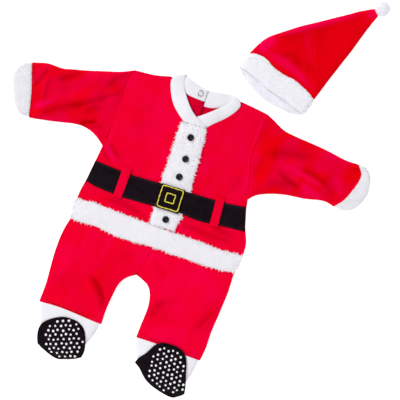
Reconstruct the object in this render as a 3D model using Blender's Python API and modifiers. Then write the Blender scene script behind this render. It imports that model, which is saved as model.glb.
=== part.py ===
"""A baby's santa suit laid out flat with its hat: a footed romper of red velour,
trimmed in white plush, with a black belt, and a red hat with a white brim and pompom.

Numbers in the tables are millimetres. X runs to the viewer's right, Y from the feet
to the neck and Z up off the surface that the suit lies on. The origin is on that
surface, below the middle of the buckle.
"""

import math
from collections import namedtuple

import bmesh
import bpy

MM = 0.001

# Cloth, seams and the air between the panels
CLOTH = 1.6
SEAM = 0.3
PUFF = 1.6
ROLL = 45.0
SHOULDER_Y = 180.0
WAIST_Y = -65.0
FORK_X = -10.0
FORK_Y = -95.0
CROTCH_Y = -132.0

# The lap of the back halves
LAP_LEFT_X = -14.0
LAP_RIGHT_X = 6.0
LAP_MARGIN = 2.0
LAP_RAMP = 46.0
LAP_END_Y = -110.0
LAP_BAND_Y = 132.0
LAP_BAND_RAMP = 20.0

# Trims, belt and buckle
PLUSH = 4.2
PLUSH_EDGE = 2.2
PLACKET_SQUEEZED = 2.0
SQUEEZE_TOP = 21.5
SQUEEZE_BOTTOM = -21.0
SQUEEZE_RAMP = 7.0
BELT = 2.0
BELT_WORN = 0.35
BELT_CLIMB_LEFT_X = -37.0
BELT_CLIMB_RIGHT_X = 43.0
BELT_CLIMB = 13.0
LOOP = 1.6
LOOP_EDGE = 0.7
LOOP_TOP_Y = 27.0
LOOP_STEP = 2.6
PATCH = 1.2
PATCH_LINE = 0.6
BAND = 2.4
BAND_EDGE = 0.75
BAND_LAP_X = -34.0
BAND_LAP_RAMP = 20.0

# Tubes: their walls, and their heights at the edges and in the middle
TUBE_RISE = 3.2
TUBE_EDGE_TOP = 0.68
TUBE_EDGE_LOW = 0.22
TUBE_INSET = 1.25
ARMHOLE_EDGE = 3.8
ARMHOLE_MIDDLE = 4.4
SLEEVE_EDGE = 4.0
SLEEVE_MIDDLE = 7.2
CUFF_WALL = 3.2
CUFF_EDGE = 7.2
CUFF_MIDDLE = 9.8
CROWN_EDGE = 4.4
CROWN_MIDDLE = 7.4
TIP_EDGE = 4.0
TIP_MIDDLE = 4.8
TIP_LIFT = 9.6
TIP_WIDTH = 4.2
BRIM_WALL = 4.6
BRIM_EDGE = 10.2
BRIM_MIDDLE = 12.6
BRIM_BULGE = 4.0

# Shoes
SHOE_BASE = 6.2
UPPER = 3.6
SOLE = 2.0
SOLE_CROWN = 4.0
SHOE_RIM = 0.62

# Small parts
SNAP_RADIUS = 5.5
SNAP_HEIGHT = 3.0
RING_RADIUS = 3.7
RING_WIRE = 0.7
RING_STRETCH = 1.25
RING_TURN = -14.0
POMPOM_RADIUS = 12.5
POMPOM_CORE = 10.0
POMPOM_CUTS = 5
POMPOM_BARE = 0.6
POMPOM_X, POMPOM_Y = 230.8, 388.2

Side = namedtuple("Side", "left_x left_y right_x right_y")
Leg = namedtuple("Leg", "outer_x outer_y inner_x inner_y")
Station = namedtuple("Station", "from_x from_y to_x to_y edge middle lift")
Fold = namedtuple("Fold", "from_x from_y to_x to_y width height")
Band = namedtuple("Band", "seam_x seam_y free_x free_y")
Shoe = namedtuple("Shoe", "y base upper_from upper_to sole_from sole_to")

# Side seams and armholes, from the waist seam up to the shoulder tips
SIDES = [
    Side(-142.3, -64.85, 136.0, -64.85),
    Side(-142.0, -46.0, 137.5, -50.0),
    Side(-141.0, -30.0, 138.0, -32.0),
    Side(-137.0, -14.0, 130.0, -16.0),
    Side(-134.3, 2.0, 125.0, 0.0),
    Side(-132.3, 18.0, 121.0, 14.0),
    Side(-130.0, 33.0, 119.5, 26.0),
    Side(-128.0, 48.0, 118.0, 36.0),
    Side(-126.4, 64.0, 111.8, 57.0),
    Side(-124.8, 80.0, 107.0, 77.0),
    Side(-123.2, 96.0, 103.5, 97.0),
    Side(-121.6, 112.0, 102.0, 117.0),
    Side(-120.0, 128.0, 101.8, 136.0),
    Side(-118.2, 146.0, 104.0, 153.0),
    Side(-116.5, 163.0, 106.3, 165.0),
    Side(-115.0, 178.0, 108.0, 174.0),
]

# Top edges of the panels: shoulder tip, neck point, neck seam
FRONT_TOP = [
    (-115, 178), (-97, 179), (-80, 180), (-57, 186), (-56.5, 180), (-54, 171), (-49, 158),
    (-41, 144), (-30, 133.5), (-16, 122.5), (2, 122.5), (20, 122.5), (30, 134), (41, 142.5),
    (51, 153), (60, 165), (63.3, 174), (62, 181), (85, 178), (97, 176), (108, 174),
]
BACK_LEFT_TOP = [
    (-115, 178), (-97, 179), (-80, 180), (-57, 186), (-42, 176), (-26, 165.5), (-10, 164), (6, 163.5),
]
BACK_RIGHT_TOP = [
    (-14, 156), (5, 155.5), (26, 157), (44, 169), (62, 181), (85, 178), (97, 176), (108, 174),
]

# Trouser legs from the waist seam down to the ankle seam
LEG_LEFT = [
    Leg(-142.3, -65.15, -3.15, -65.15),
    Leg(-141.5, -79, -5.15, -82),
    Leg(-146.5, -92, -7.15, -96),
    Leg(-149, -112, -11.15, -115),
    Leg(-150, -130, -15.15, -132),
    Leg(-150, -145, -29, -140),
    Leg(-149.5, -158, -38, -152),
    Leg(-148.8, -172, -41.3, -170),
    Leg(-148, -188, -43.7, -188),
    Leg(-148.8, -204, -45.8, -206),
    Leg(-150, -219, -45, -224),
]
LEG_RIGHT = [
    Leg(136.0, -65.15, -2.85, -65.15),
    Leg(132.3, -83, -4.85, -82),
    Leg(132.6, -98, -6.85, -96),
    Leg(132.9, -115, -10.85, -115),
    Leg(131.3, -132, -14.85, -132),
    Leg(129.8, -148, 6, -140),
    Leg(128.7, -160, 14.5, -151),
    Leg(126.8, -175, 19, -171),
    Leg(125.6, -192, 18, -190),
    Leg(126.3, -210, 16, -209),
    Leg(122.5, -232, 15, -227),
]
HEM_LEFT_BOW = [(-150, 0), (-138, 1.6), (-124, 2.9), (-106, 2.9), (-90, 2.4), (-76, 0.8), (-60, 0), (-45, 0)]
HEM_RIGHT_BOW = [(15, 0), (28, 0.8), (42, 1.6), (60, 1.2), (84, 0), (122, 0)]

# Sleeves from the armhole to the cuff seam, upper edge then lower edge
SLEEVE_LEFT = [
    Station(-115.3, 178, -128.3, 48, ARMHOLE_EDGE, ARMHOLE_MIDDLE, 0),
    Station(-135, 169, -141, 59, 4, 6, 0),
    Station(-155, 164, -156, 67, 4, 7, 0),
    Station(-175, 158.5, -176, 70, 4, 7.2, 0),
    Station(-195, 153, -195, 66, 4, 7.2, 0),
    Station(-212, 150, -212, 62.5, 4, 7.2, 0),
    Station(-226, 145.5, -226, 60, 4, 7.2, 0),
    Station(-240, 147, -237, 58.5, 4, 7, 0),
    Station(-252, 147.5, -244, 57, 4, 6.8, 0),
    Station(-263, 144.5, -248, 57, 4, 6.8, 0),
]
SLEEVE_RIGHT = [
    Station(122, 168, 126, 45.6, 4, 6, 0),
    Station(138, 158, 144, 54.2, 4, 7, 0),
    Station(155, 155, 169, 61, 4, 7.2, 0),
    Station(175, 153, 188, 63, 4, 7.2, 0),
    Station(195, 151, 205, 64, 4, 7.2, 0),
    Station(215, 148.5, 220, 68, 4, 7.2, 0),
    Station(234, 145, 235, 71, 4, 7.2, 0),
    Station(250, 141.5, 245, 69, 4, 6.8, 0),
]
ARMHOLE_RIGHT = [
    (108.35, 174), (102.15, 136), (102.35, 117), (103.9, 97), (107.4, 77), (112.2, 57), (118.4, 36),
]

# Seam and mouth lines across the cuffs
CUFF_SEAM_LEFT = [(-275.5, 141), (-268.7, 120), (-261.8, 98), (-257.8, 78), (-253.6, 56)]
CUFF_MOUTH_LEFT = [
    (-286, 137), (-293.5, 130.5), (-298, 121), (-296.5, 104), (-292, 93), (-287, 80), (-280, 65),
    (-270, 57),
]
CUFF_SEAM_RIGHT = [(269.7, 142), (279, 132), (281, 123), (276, 108), (270.5, 94), (263.5, 78), (252.5, 66.5)]
CUFF_MOUTH_RIGHT = [
    (284, 140.5), (291, 136.5), (296, 125), (298, 110), (297, 95), (291.5, 79), (282, 69), (269, 64),
]

# Ankles from the trouser hem to their hidden ends
ANKLE_LEFT = [
    Station(-147.5, -219.7, -46.5, -224.4, 4.4, 5.6, 0),
    Station(-144.5, -236, -49, -239, 4.4, 5.8, 0),
    Station(-140.5, -249, -55, -256, 4.4, 5.8, 0),
    Station(-134, -262, -60, -268, 4.4, 5.8, 0),
    Station(-127, -273, -65, -276, 4.4, 5.4, 0),
    Station(-119, -283, -73, -283, 4.2, 4.8, 0),
]
ANKLE_RIGHT = [
    Station(15.5, -227.5, 120.5, -232.5, 4.4, 5.6, 0),
    Station(15.5, -241, 118.8, -245, 4.4, 5.8, 0),
    Station(22, -254, 117, -257, 4.4, 5.8, 0),
    Station(29, -265, 114, -267, 4.4, 5.8, 0),
    Station(35, -275, 111, -276, 4.4, 5.4, 0),
    Station(42, -283, 106, -283, 4.2, 4.8, 0),
]

# Shoes from the toe down to the heel; the sole's columns are None where it doesn't reach
SHOE_LEFT = [
    Shoe(-229.8, SHOE_BASE, -102, -87, None, None),
    Shoe(-232.0, SHOE_BASE, -110, -79, -102, -86),
    Shoe(-236.5, SHOE_BASE, -119, -71, -112, -77),
    Shoe(-243.0, SHOE_BASE, -129, -66, -120.5, -69),
    Shoe(-252.0, SHOE_BASE, -137, -62.3, -126, -64.5),
    Shoe(-262.0, SHOE_BASE, -138.3, -59, -128, -61.5),
    Shoe(-273.0, SHOE_BASE, -136.5, -56.7, -127, -59.5),
    Shoe(-284.0, SHOE_BASE, -132.5, -59, -121.5, -62.5),
    Shoe(-289.5, 3.2, -123, -66.5, -114, -69.5),
    Shoe(-294.0, 0.6, -114, -79, -106, -80),
    Shoe(-298.8, 0.0, -101, -93, None, None),
]
SHOE_RIGHT = [
    Shoe(-221.3, SHOE_BASE, 62, 81, None, None),
    Shoe(-225.0, SHOE_BASE, 51, 92, 62, 82),
    Shoe(-231.5, SHOE_BASE, 45.5, 98.7, 52.5, 93),
    Shoe(-240.0, SHOE_BASE, 41, 103, 49, 99.5),
    Shoe(-248.0, SHOE_BASE, 36.5, 105.2, 47.5, 102.5),
    Shoe(-257.5, SHOE_BASE, 27, 107.4, 47, 105),
    Shoe(-266.0, SHOE_BASE, 24.6, 110, 47, 107.6),
    Shoe(-272.0, SHOE_BASE, 35, 111.8, 48, 109.6),
    Shoe(-284.0, SHOE_BASE, 44.5, 114.4, 53.5, 112.4),
    Shoe(-290.5, 3.2, 53, 115, 59.5, 112.5),
    Shoe(-296.0, 0.6, 64, 111, 68.5, 108),
    Shoe(-303.0, 0.0, 88, 99, None, None),
]

# Neckband halves, from the centre back to the shoulder fold and on to the centre front
BAND_LEFT_BACK = [
    Band(6, 163.8, 6, 182.7),
    Band(-10, 164.4, -10, 185.5),
    Band(-26, 165.9, -21, 190),
    Band(-42, 176.4, -29, 194),
]
BAND_LEFT_FOLD = Band(-55.0, 188.6, -36, 198.5)
BAND_LEFT_FRONT = [
    Band(-56.1, 180, -36, 191.5),
    Band(-53.6, 171, -35, 184),
    Band(-48.6, 158.2, -31.5, 174.5),
    Band(-40.7, 144.3, -26, 165.8),
    Band(-29.8, 133.9, -19, 155.5),
    Band(-22, 127.6, -10, 144.5),
    Band(-15.8, 122.8, 0, 136.5),
    Band(2, 122.8, 10, 131),
    Band(19.6, 122.8, 19.6, 127),
]
BAND_RIGHT_BACK = [
    Band(-14, 156.4, -14, 183),
    Band(5, 155.9, 6, 182.4),
    Band(26, 157.4, 28, 185.4),
    Band(44, 169.4, 40, 188),
]
BAND_RIGHT_FOLD = Band(60.6, 183.6, 49, 188.8)
BAND_RIGHT_FRONT = [
    Band(63.0, 174.2, 46.3, 182),
    Band(59.7, 165.3, 42, 173),
    Band(50.7, 153.4, 33, 163),
    Band(40.8, 142.9, 23.5, 154.2),
    Band(29.8, 134.4, 12, 144.3),
    Band(20.2, 123.2, 1, 136.8),
    Band(6, 123.2, -5, 132),
    Band(-6, 124, -10, 128),
]

# Trims on the front: edges across the suit, top edge and bottom edge
BELT_TOP = [
    (-132, 22), (-87, 18), (-71, 17), (-19, 18.5), (21, 18), (70, 19), (82, 19), (101, 21), (119.8, 23),
]
BELT_BOTTOM = [
    (-137, -13.5), (-126, -17.5), (-89, -20), (-76, -21), (-37, -20), (-17, -18), (21, -17), (52, -21),
    (72, -19), (86, -17), (108, -16), (129.5, -14.5),
]
TRIM_TOP = [
    (-143, -46), (-117, -43), (-86, -45), (-59, -47), (-28, -48), (-19, -49), (21, -51), (52, -51),
    (74, -52), (97, -54), (137, -53),
]
TRIM_BOTTOM = [
    (-141, -77), (-126, -79), (-103, -77), (-81, -80), (-72, -83), (-37, -83), (8, -82), (30, -84),
    (63, -84.5), (97, -85.5), (131.5, -82),
]
TRIM_BULGE = 2.0
BELT_COLUMNS = [
    -118, -104, -90, -76, -62, -48, -36, -27, -21, -14, -5, 4, 13, 22, 28, 34, 43, 56, 68, 80, 92, 104,
    113,
]
TRIM_COLUMNS = 26
TRIM_ROWS = [0, 0.1, 0.32, 0.62, 0.88, 1]
BELT_ROWS = [0, 0.06, 0.5, 0.94, 1]
Placket = namedtuple("Placket", "y left right")
PLACKET = [
    Placket(122.2, -17, 20.5), Placket(120, -19.5, 22.5), Placket(105, -20.5, 24), Placket(85, -20.5, 25),
    Placket(65, -20.5, 25.5), Placket(45, -21, 26), Placket(29, -21.5, 26.8), Placket(22.5, -21.5, 27),
    Placket(21, -21.5, 27), Placket(0, -21, 27), Placket(-20.5, -20.5, 26.7), Placket(-22, -20.3, 26.5),
    Placket(-28.5, -20, 25), Placket(-40, -19.5, 23), Placket(-47.8, -19, 21.5),
]
Loop = namedtuple("Loop", "name top_from top_to bottom_from bottom_to bottom_y")
LOOPS = [
    Loop("belt_loop_left", -86, -72.5, -88, -75, -25),
    Loop("belt_loop_right", 70, 82.5, 72.5, 85.5, -22.5),
]
PATCH_LINES = [-19.7, -18.2, -16.4, -8.0, -6.2, 6.2, 8.0, 16.4, 18.2, 19.7]
SNAPS = [(2.0, 102.0), (4.5, 67.0), (3.5, 37.0), (3.3, -34.0)]
NECK_SNAP = (-4.5, 174.5)

# The hat
CROWN_SEAM = [
    (51, 258.6), (60, 263.2), (66, 264), (73, 262), (80, 259), (90, 252), (98, 247), (110, 243),
    (120, 242), (133, 240), (140, 238), (150, 232), (162, 227), (171, 219.6),
]
CROWN = [
    Station(58, 273, 176, 233, 4.4, 7.0, 0),
    Station(67, 288, 180, 245, 4.4, 7.4, 0),
    Station(76, 297, 186, 262, 4.4, 7.4, 0),
    Station(95, 310, 192, 277, 4.4, 7.4, 0),
    Station(115, 325, 198, 294, 4.4, 7.4, 0),
    Station(138, 338, 205, 311, 4.4, 7.4, 0),
    Station(160, 352, 211, 330, 4.4, 7.2, 0),
    Station(180, 364, 217, 348, 4.4, 7.0, 0),
    Station(196, 374.6, 221.8, 360.6, 4.2, 6.4, 0.6),
    Station(207.4, 380, 225.9, 369.5, 4.2, 5.8, 2.6),
    Station(215.9, 384.2, 228, 375.8, 4.2, 5.2, 5.6),
]
BRIM_MOUTH_TOP = [
    (43, 238), (45, 231.5), (55, 229), (68, 226), (85, 218), (101, 210), (121, 205), (137, 201),
    (147, 194), (156, 190), (163.5, 196),
]
BRIM_MOUTH_BOTTOM = [
    (41, 236), (45, 227), (52, 221), (63, 213.5), (80, 203), (96, 195), (113, 191), (130, 188.5),
    (146, 186.5), (157, 187), (163.5, 194),
]

# The largest folds of each piece
BODY_FOLDS = [
    Fold(-126, 72, -114, 45, 7, 1.6),
    Fold(-108, 72, -86, 52, 8, 1.3),
    Fold(94, 76, 108, 46, 7, 1.5),
    Fold(-88, 98, -38, 94, 8, 0.9),
    Fold(66, -34, 112, -36, 5, 0.9),
]
SLEEVE_LEFT_FOLDS = [
    Fold(-128, 160, -238, 116, 9, 3.0),
    Fold(-122, 138, -236, 76, 10, 3.2),
    Fold(-168, 82, -148, 88, 5, 2.2),
    Fold(-247, 136, -257, 100, 6, 1.8),
]
SLEEVE_RIGHT_FOLDS = [
    Fold(122, 112, 212, 130, 9, 2.8),
    Fold(124, 66, 202, 84, 8, 2.6),
    Fold(198, 101, 252, 94, 8, 2.4),
]
LEG_FOLDS = [
    Fold(-82, -152, -50, -202, 9, 2.6),
    Fold(-112, -150, -98, -204, 12, 1.6),
    Fold(-128, -108, -92, -128, 9, 1.4),
    Fold(40, -150, 26, -198, 8, 2.4),
    Fold(74, -160, 66, -206, 12, 1.6),
    Fold(112, -112, 80, -134, 9, 1.4),
]
CROWN_FOLDS = [
    Fold(78, 286, 196, 366, 8, 2.4),
    Fold(96, 263, 152, 268, 7, 1.8),
    Fold(142, 318, 176, 341, 8, 1.8),
]

COLOURS = {
    "velour_red": ((0.80, 0.005, 0.03, 1), 0.85),
    "plush_white": ((0.88, 0.87, 0.90, 1), 0.95),
    "cloth_black": ((0.012, 0.010, 0.014, 1), 0.80),
    "snap_black": ((0.015, 0.014, 0.016, 1), 0.35),
    "ring_steel": ((0.55, 0.55, 0.57, 1), 0.30),
}


# Heights

def ease(t):
    """0 to 1, soft at both ends."""
    t = min(1.0, max(0.0, t))
    return t * t * (3 - 2 * t)


def swell(t):
    """0 to 1, steep at first and flat at the end."""
    return math.sin(0.5 * math.pi * min(1.0, max(0.0, t)))


def between(pairs, at):
    """The second value of a table of pairs, at a given first value."""
    pairs = sorted(pairs)
    if at <= pairs[0][0]:
        return pairs[0][1]
    for (a, low), (b, high) in zip(pairs, pairs[1:]):
        if at <= b:
            return low + (high - low) * (at - a) / (b - a)
    return pairs[-1][1]


LEFT_EDGE = [(s.left_y, s.left_x) for s in SIDES] + [(g.outer_y, g.outer_x) for g in LEG_LEFT[1:]]
RIGHT_EDGE = [(s.right_y, s.right_x) for s in SIDES] + [(g.outer_y, g.outer_x) for g in LEG_RIGHT[1:]]
LEFT_INSEAM = [(g.inner_y, g.inner_x) for g in LEG_LEFT]
RIGHT_INSEAM = [(g.inner_y, g.inner_x) for g in LEG_RIGHT]


def air(x, y):
    """The air between front and back, none at the side seams and the inseams."""
    rise = swell((x - between(LEFT_EDGE, y)) / ROLL) * swell((between(RIGHT_EDGE, y) - x) / ROLL)
    rise *= swell((SHOULDER_Y - y) / ROLL)
    if y < FORK_Y:
        if x < FORK_X:
            reach = (between(LEFT_INSEAM, y) - x) / ROLL
        else:
            reach = (x - between(RIGHT_INSEAM, y)) / ROLL
        fork = ease((FORK_Y - y) / (FORK_Y - CROTCH_Y))
        rise *= 1 - fork * (1 - swell(reach))
    return PUFF * rise


def left_lap(x):
    """0 to 1 as the left half climbs onto the right one."""
    return ease((x - LAP_LEFT_X + LAP_MARGIN + LAP_RAMP) / LAP_RAMP)


def lap(x, y):
    """How far the left back half is lifted onto the right one, and onto the neckband above."""
    lift = CLOTH + (BAND - CLOTH) * ease((y - LAP_BAND_Y) / LAP_BAND_RAMP) + SEAM
    return lift * left_lap(x)


def front_under(x, y):
    """Underside of the front panels, over the back halves."""
    over = lap(x, y) * ease((LAP_RIGHT_X + LAP_MARGIN + LAP_RAMP - x) / LAP_RAMP)
    over *= ease((y - LAP_END_Y) / (WAIST_Y - LAP_END_Y))
    return CLOTH + SEAM + over + air(x, y)


def front_top(x, y):
    return front_under(x, y) + CLOTH


def folds(table, x, y):
    """Height of the soft ridges at a point."""
    rise = 0.0
    for f in table:
        run_x = f.to_x - f.from_x
        run_y = f.to_y - f.from_y
        length = math.hypot(run_x, run_y)
        along = ((x - f.from_x) * run_x + (y - f.from_y) * run_y) / length
        aside = ((x - f.from_x) * run_y - (y - f.from_y) * run_x) / length
        beyond = max(0.0, -along, along - length)
        rise += f.height * math.exp(-((aside / f.width) ** 2) - (beyond / (1.5 * f.width)) ** 2)
    return rise


def placket_thickness(y):
    above = ease((y - SQUEEZE_TOP) / SQUEEZE_RAMP)
    below = ease((SQUEEZE_BOTTOM - y) / SQUEEZE_RAMP)
    return PLACKET_SQUEEZED + (PLUSH - PLACKET_SQUEEZED) * max(above, below)


def placket_top(x, y):
    return front_top(x, y) + SEAM + placket_thickness(y)


def belt_under(x, y):
    """Underside of the belt: on the front, and over the squeezed placket."""
    climb = min(ease((x - BELT_CLIMB_LEFT_X) / BELT_CLIMB), ease((BELT_CLIMB_RIGHT_X - x) / BELT_CLIMB))
    return front_top(x, y) + SEAM + climb * (PLACKET_SQUEEZED + SEAM)


def belt_top(x, y):
    return belt_under(x, y) + BELT


# Lines and meshes

def along(points, count):
    """Points evenly spaced along a line through the given ones."""
    lengths = [0.0]
    for a, b in zip(points, points[1:]):
        lengths.append(lengths[-1] + math.dist(a, b))
    line = []
    for k in range(count + 1):
        at = lengths[-1] * k / count
        line.append(tuple(between([(s, p[axis]) for s, p in zip(lengths, points)], at) for axis in (0, 1)))
    return line


def mix(a, b, t):
    return tuple(p + (q - p) * t for p, q in zip(a, b))


def material(name):
    found = bpy.data.materials.get(name)
    if found:
        return found
    colour, roughness = COLOURS[name]
    made = bpy.data.materials.new(name)
    made.use_nodes = True
    shader = made.node_tree.nodes["Principled BSDF"]
    shader.inputs["Base Color"].default_value = colour
    shader.inputs["Roughness"].default_value = roughness
    shader.inputs["Metallic"].default_value = 1.0 if name == "ring_steel" else 0.0
    made.diffuse_color = colour
    return made


def add_object(name, mesh, finish):
    for face in mesh.polygons:
        face.use_smooth = True
    mesh.set_sharp_from_angle(angle=math.radians(50))
    mesh.materials.append(material(finish))
    made = bpy.data.objects.new(name, mesh)
    suit.objects.link(made)
    return made


def add_loft(name, shells, finish):
    """One closed body from shells of rings. Each shell is a list of rings of points in
    millimetres, and the first and last rings of the shells are joined to each other."""
    work = bmesh.new()
    built = [[[work.verts.new([c * MM for c in p]) for p in ring] for ring in shell] for shell in shells]
    count = len(built[0][0])
    for shell in built:
        for low, high in zip(shell, shell[1:]):
            for k in range(count):
                n = (k + 1) % count
                work.faces.new((low[k], low[n], high[n], high[k]))
    if len(built) == 2:
        for end in (0, -1):
            outer, inner = built[0][end], built[1][end]
            for k in range(count):
                n = (k + 1) % count
                work.faces.new((outer[k], outer[n], inner[n], inner[k]))
    else:
        half = count // 2
        for ring in (built[0][0], built[0][-1]):
            for k in range(half - 1):
                work.faces.new((ring[k], ring[k + 1], ring[count - 2 - k], ring[count - 1 - k]))
    bmesh.ops.recalc_face_normals(work, faces=work.faces)
    mesh = bpy.data.meshes.new(name)
    work.to_mesh(mesh)
    work.free()
    return add_object(name, mesh, finish)


def add_slab(name, rows, under, top, finish):
    """A panel: rows of (x, y) points, with its underside and its upper side as heights."""
    rings = []
    for r, row in enumerate(rows):
        upper = [(x, y, top(x, y, r, c)) for c, (x, y) in enumerate(row)]
        lower = [(x, y, under(x, y)) for x, y in row]
        rings.append(upper + lower[::-1])
    return add_loft(name, [rings], finish)


def patch_rows(left, right, top, columns):
    """Rows of points inside four edges: straight at the bottom, the given line at the top."""
    rows = []
    last = len(left) - 1
    upper = along_index(top, columns)
    for r in range(last + 1):
        v = r / last
        row = []
        for c in range(columns + 1):
            u = c / columns
            across = mix(left[r], right[r], u)
            chord = mix(top[0], top[-1], u)
            row.append(tuple(across[k] + v * (upper[c][k] - chord[k]) for k in (0, 1)))
        rows.append(row)
    return rows


def along_index(points, count):
    """Points along a line, spaced by its own points rather than by length."""
    line = []
    for c in range(count + 1):
        at = c * (len(points) - 1) / count
        k = min(int(at), len(points) - 2)
        line.append(mix(points[k], points[k + 1], at - k))
    return line


def tube_rings(lines, heights, wall, ridges):
    """Outer and inner rings of a flattened tube. Each line pair gives the points across the
    upper and the lower layer, and heights gives its edge height, middle height and lift."""
    outer, inner = [], []
    for (upper, lower), (edge, middle, lift) in zip(lines, heights):
        last = len(upper) - 1
        inset_upper = inset(upper, wall)
        inset_lower = inset(lower, wall)
        top_out, top_in, low_out, low_in = [], [], [], []
        for k in range(last + 1):
            part = k / last
            crown = swell(min(part, 1 - part) * TUBE_RISE)
            top = lift + edge + (middle - edge) * crown
            if k in (0, last):
                top_out.append((*upper[k], lift + TUBE_EDGE_TOP * edge))
                low_out.append((*lower[k], lift + TUBE_EDGE_LOW * edge))
                top_in.append((*inset_upper[k], lift + 0.5 * edge + 0.15))
                low_in.append((*inset_lower[k], lift + 0.5 * edge - 0.15))
            else:
                ridge = folds(ridges, *upper[k])
                top_out.append((*upper[k], top + ridge))
                low_out.append((*lower[k], lift))
                top_in.append((*inset_upper[k], top - wall))
                low_in.append((*inset_lower[k], lift + wall))
        outer.append(top_out + low_out[::-1])
        inner.append(top_in + low_in[::-1])
    return [outer, inner]


def inset(line, wall):
    """A line across a tube, drawn in at both ends by a bit more than the wall."""
    length = sum(math.dist(a, b) for a, b in zip(line, line[1:]))
    drawn = list(line)
    step_in = TUBE_INSET * wall
    for end, near in ((0, 1), (-1, -2)):
        reach = math.dist(line[end], line[near])
        drawn[end] = mix(line[end], line[near], min(0.6, step_in / reach))
    return drawn if length > 4 * wall else line


def spaced(line, count):
    """Points across a tube: its two edges, a point near each edge, and even ones between."""
    fine = along(line, 100)
    steps = [0.0, 0.035]
    steps += [0.035 + 0.93 * k / (count - 2) for k in range(1, count - 2)]
    steps += [0.965, 1.0]
    points = []
    for s in steps:
        at = s * 100
        k = min(int(at), 99)
        points.append(mix(fine[k], fine[k + 1], at - k))
    return points


# The romper's body

def add_body():
    left = [(s.left_x, s.left_y) for s in SIDES]
    right = [(s.right_x, s.right_y) for s in SIDES]
    last = len(SIDES) - 1
    rows = patch_rows(left, right, FRONT_TOP, len(FRONT_TOP) - 1)
    add_slab("front_body", rows, front_under, lambda x, y, r, c: front_top(x, y) + folds(BODY_FOLDS, x, y),
             "velour_red")
    lap_edge = [mix((LAP_RIGHT_X, -64.85), BACK_LEFT_TOP[-1], r / last) for r in range(last + 1)]
    rows = patch_rows(left, lap_edge, BACK_LEFT_TOP, len(BACK_LEFT_TOP) - 1)
    add_slab("back_left", rows, lap, lambda x, y, r, c: lap(x, y) + CLOTH, "velour_red")
    hidden_edge = [mix((LAP_LEFT_X, -64.85), BACK_RIGHT_TOP[0], r / last) for r in range(last + 1)]
    rows = patch_rows(hidden_edge, right, BACK_RIGHT_TOP, len(BACK_RIGHT_TOP) - 1)
    add_slab("back_right", rows, lambda x, y: 0.0, lambda x, y, r, c: CLOTH, "velour_red")


def bowed(line, bow):
    """A hem line raised in its middle, by heights given along x."""
    return [(x, y + between(bow, x)) for x, y in line]


def add_trousers():
    columns = 9
    for side, legs, bow in (("left", LEG_LEFT, HEM_LEFT_BOW), ("right", LEG_RIGHT, HEM_RIGHT_BOW)):
        rows = []
        for g in legs:
            ends = [(g.outer_x, g.outer_y), (g.inner_x, g.inner_y)]
            if side == "right":
                ends.reverse()
            rows.append([mix(ends[0], ends[1], c / columns) for c in range(columns + 1)])
        rows[-1] = bowed(rows[-1], bow)
        rows.reverse()
        add_slab("trouser_front_" + side, rows, front_under,
                 lambda x, y, r, c: front_top(x, y) + folds(LEG_FOLDS, x, y), "velour_red")
        add_slab("trouser_back_" + side, rows, lambda x, y: 0.0, lambda x, y, r, c: CLOTH, "velour_red")


# Sleeves, cuffs and ankles

def station_lines(stations, count):
    lines = []
    for s in stations:
        line = spaced([(s.from_x, s.from_y), (s.to_x, s.to_y)], count)
        lines.append((line, line))
    return lines


def heights_of(stations):
    return [(s.edge, s.middle, s.lift) for s in stations]


def add_sleeves():
    count = 8
    sides = (
        ("left", SLEEVE_LEFT, SLEEVE_LEFT_FOLDS, CUFF_SEAM_LEFT, CUFF_MOUTH_LEFT),
        ("right", SLEEVE_RIGHT, SLEEVE_RIGHT_FOLDS, CUFF_SEAM_RIGHT, CUFF_MOUTH_RIGHT),
    )
    for side, stations, ridges, seam, mouth in sides:
        lines = station_lines(stations, count)
        heights = heights_of(stations)
        away = -SEAM
        if side == "right":
            armhole = spaced(ARMHOLE_RIGHT, count)
            lines.insert(0, (armhole, armhole))
            heights.insert(0, (ARMHOLE_EDGE, ARMHOLE_MIDDLE, 0))
            away = SEAM
        end = spaced(seam, count)
        lines.append((end, end))
        heights.append((SLEEVE_EDGE, SLEEVE_MIDDLE - 0.4, 0))
        add_loft("sleeve_" + side, tube_rings(lines, heights, CLOTH, ridges), "velour_red")
        start = [(x + 1.4 * away, y) for x, y in spaced(seam, count)]
        finish = spaced(mouth, count)
        lines, heights = [], []
        for part, swelling in ((0.0, -0.8), (0.25, 0.0), (0.6, 0.2), (0.88, -0.2), (1.0, -1.4)):
            line = [mix(a, b, part) for a, b in zip(start, finish)]
            lines.append((line, line))
            heights.append((CUFF_EDGE + 0.5 * swelling, CUFF_MIDDLE + swelling, 0))
        add_loft("cuff_" + side, tube_rings(lines, heights, CUFF_WALL, []), "plush_white")


def add_ankles():
    for side, stations, bow in (("left", ANKLE_LEFT, HEM_LEFT_BOW), ("right", ANKLE_RIGHT, HEM_RIGHT_BOW)):
        lines = station_lines(stations, 7)
        hem = bowed(lines[0][0], bow)
        lines[0] = (hem, hem)
        add_loft("ankle_" + side, tube_rings(lines, heights_of(stations), CLOTH, []), "plush_white")


# Neckband

def band_section(row, height, lean, half):
    """A ring round one place along the band: the seam edge, the free edge and its thickness."""
    seam, free = (row.seam_x, row.seam_y), (row.free_x, row.free_y)
    upper, lower = [], []
    for part, thick in ((0.0, BAND_EDGE), (0.3, 1.0), (0.72, 1.0), (1.0, BAND_EDGE)):
        x, y = mix(seam, free, part)
        reach = half * thick
        upper.append((x + lean[0] * reach, y + lean[1] * reach, height(x, y) + lean[2] * reach))
        lower.append((x - lean[0] * reach, y - lean[1] * reach, height(x, y) - lean[2] * reach))
    return upper + lower[::-1]


def front_band_middle(x, y):
    """Middle of the neckband in front, over its back part or level with the front body."""
    return max(1.5 * BAND + 2 * SEAM, front_under(x, y) + 0.5 * CLOTH)


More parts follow.
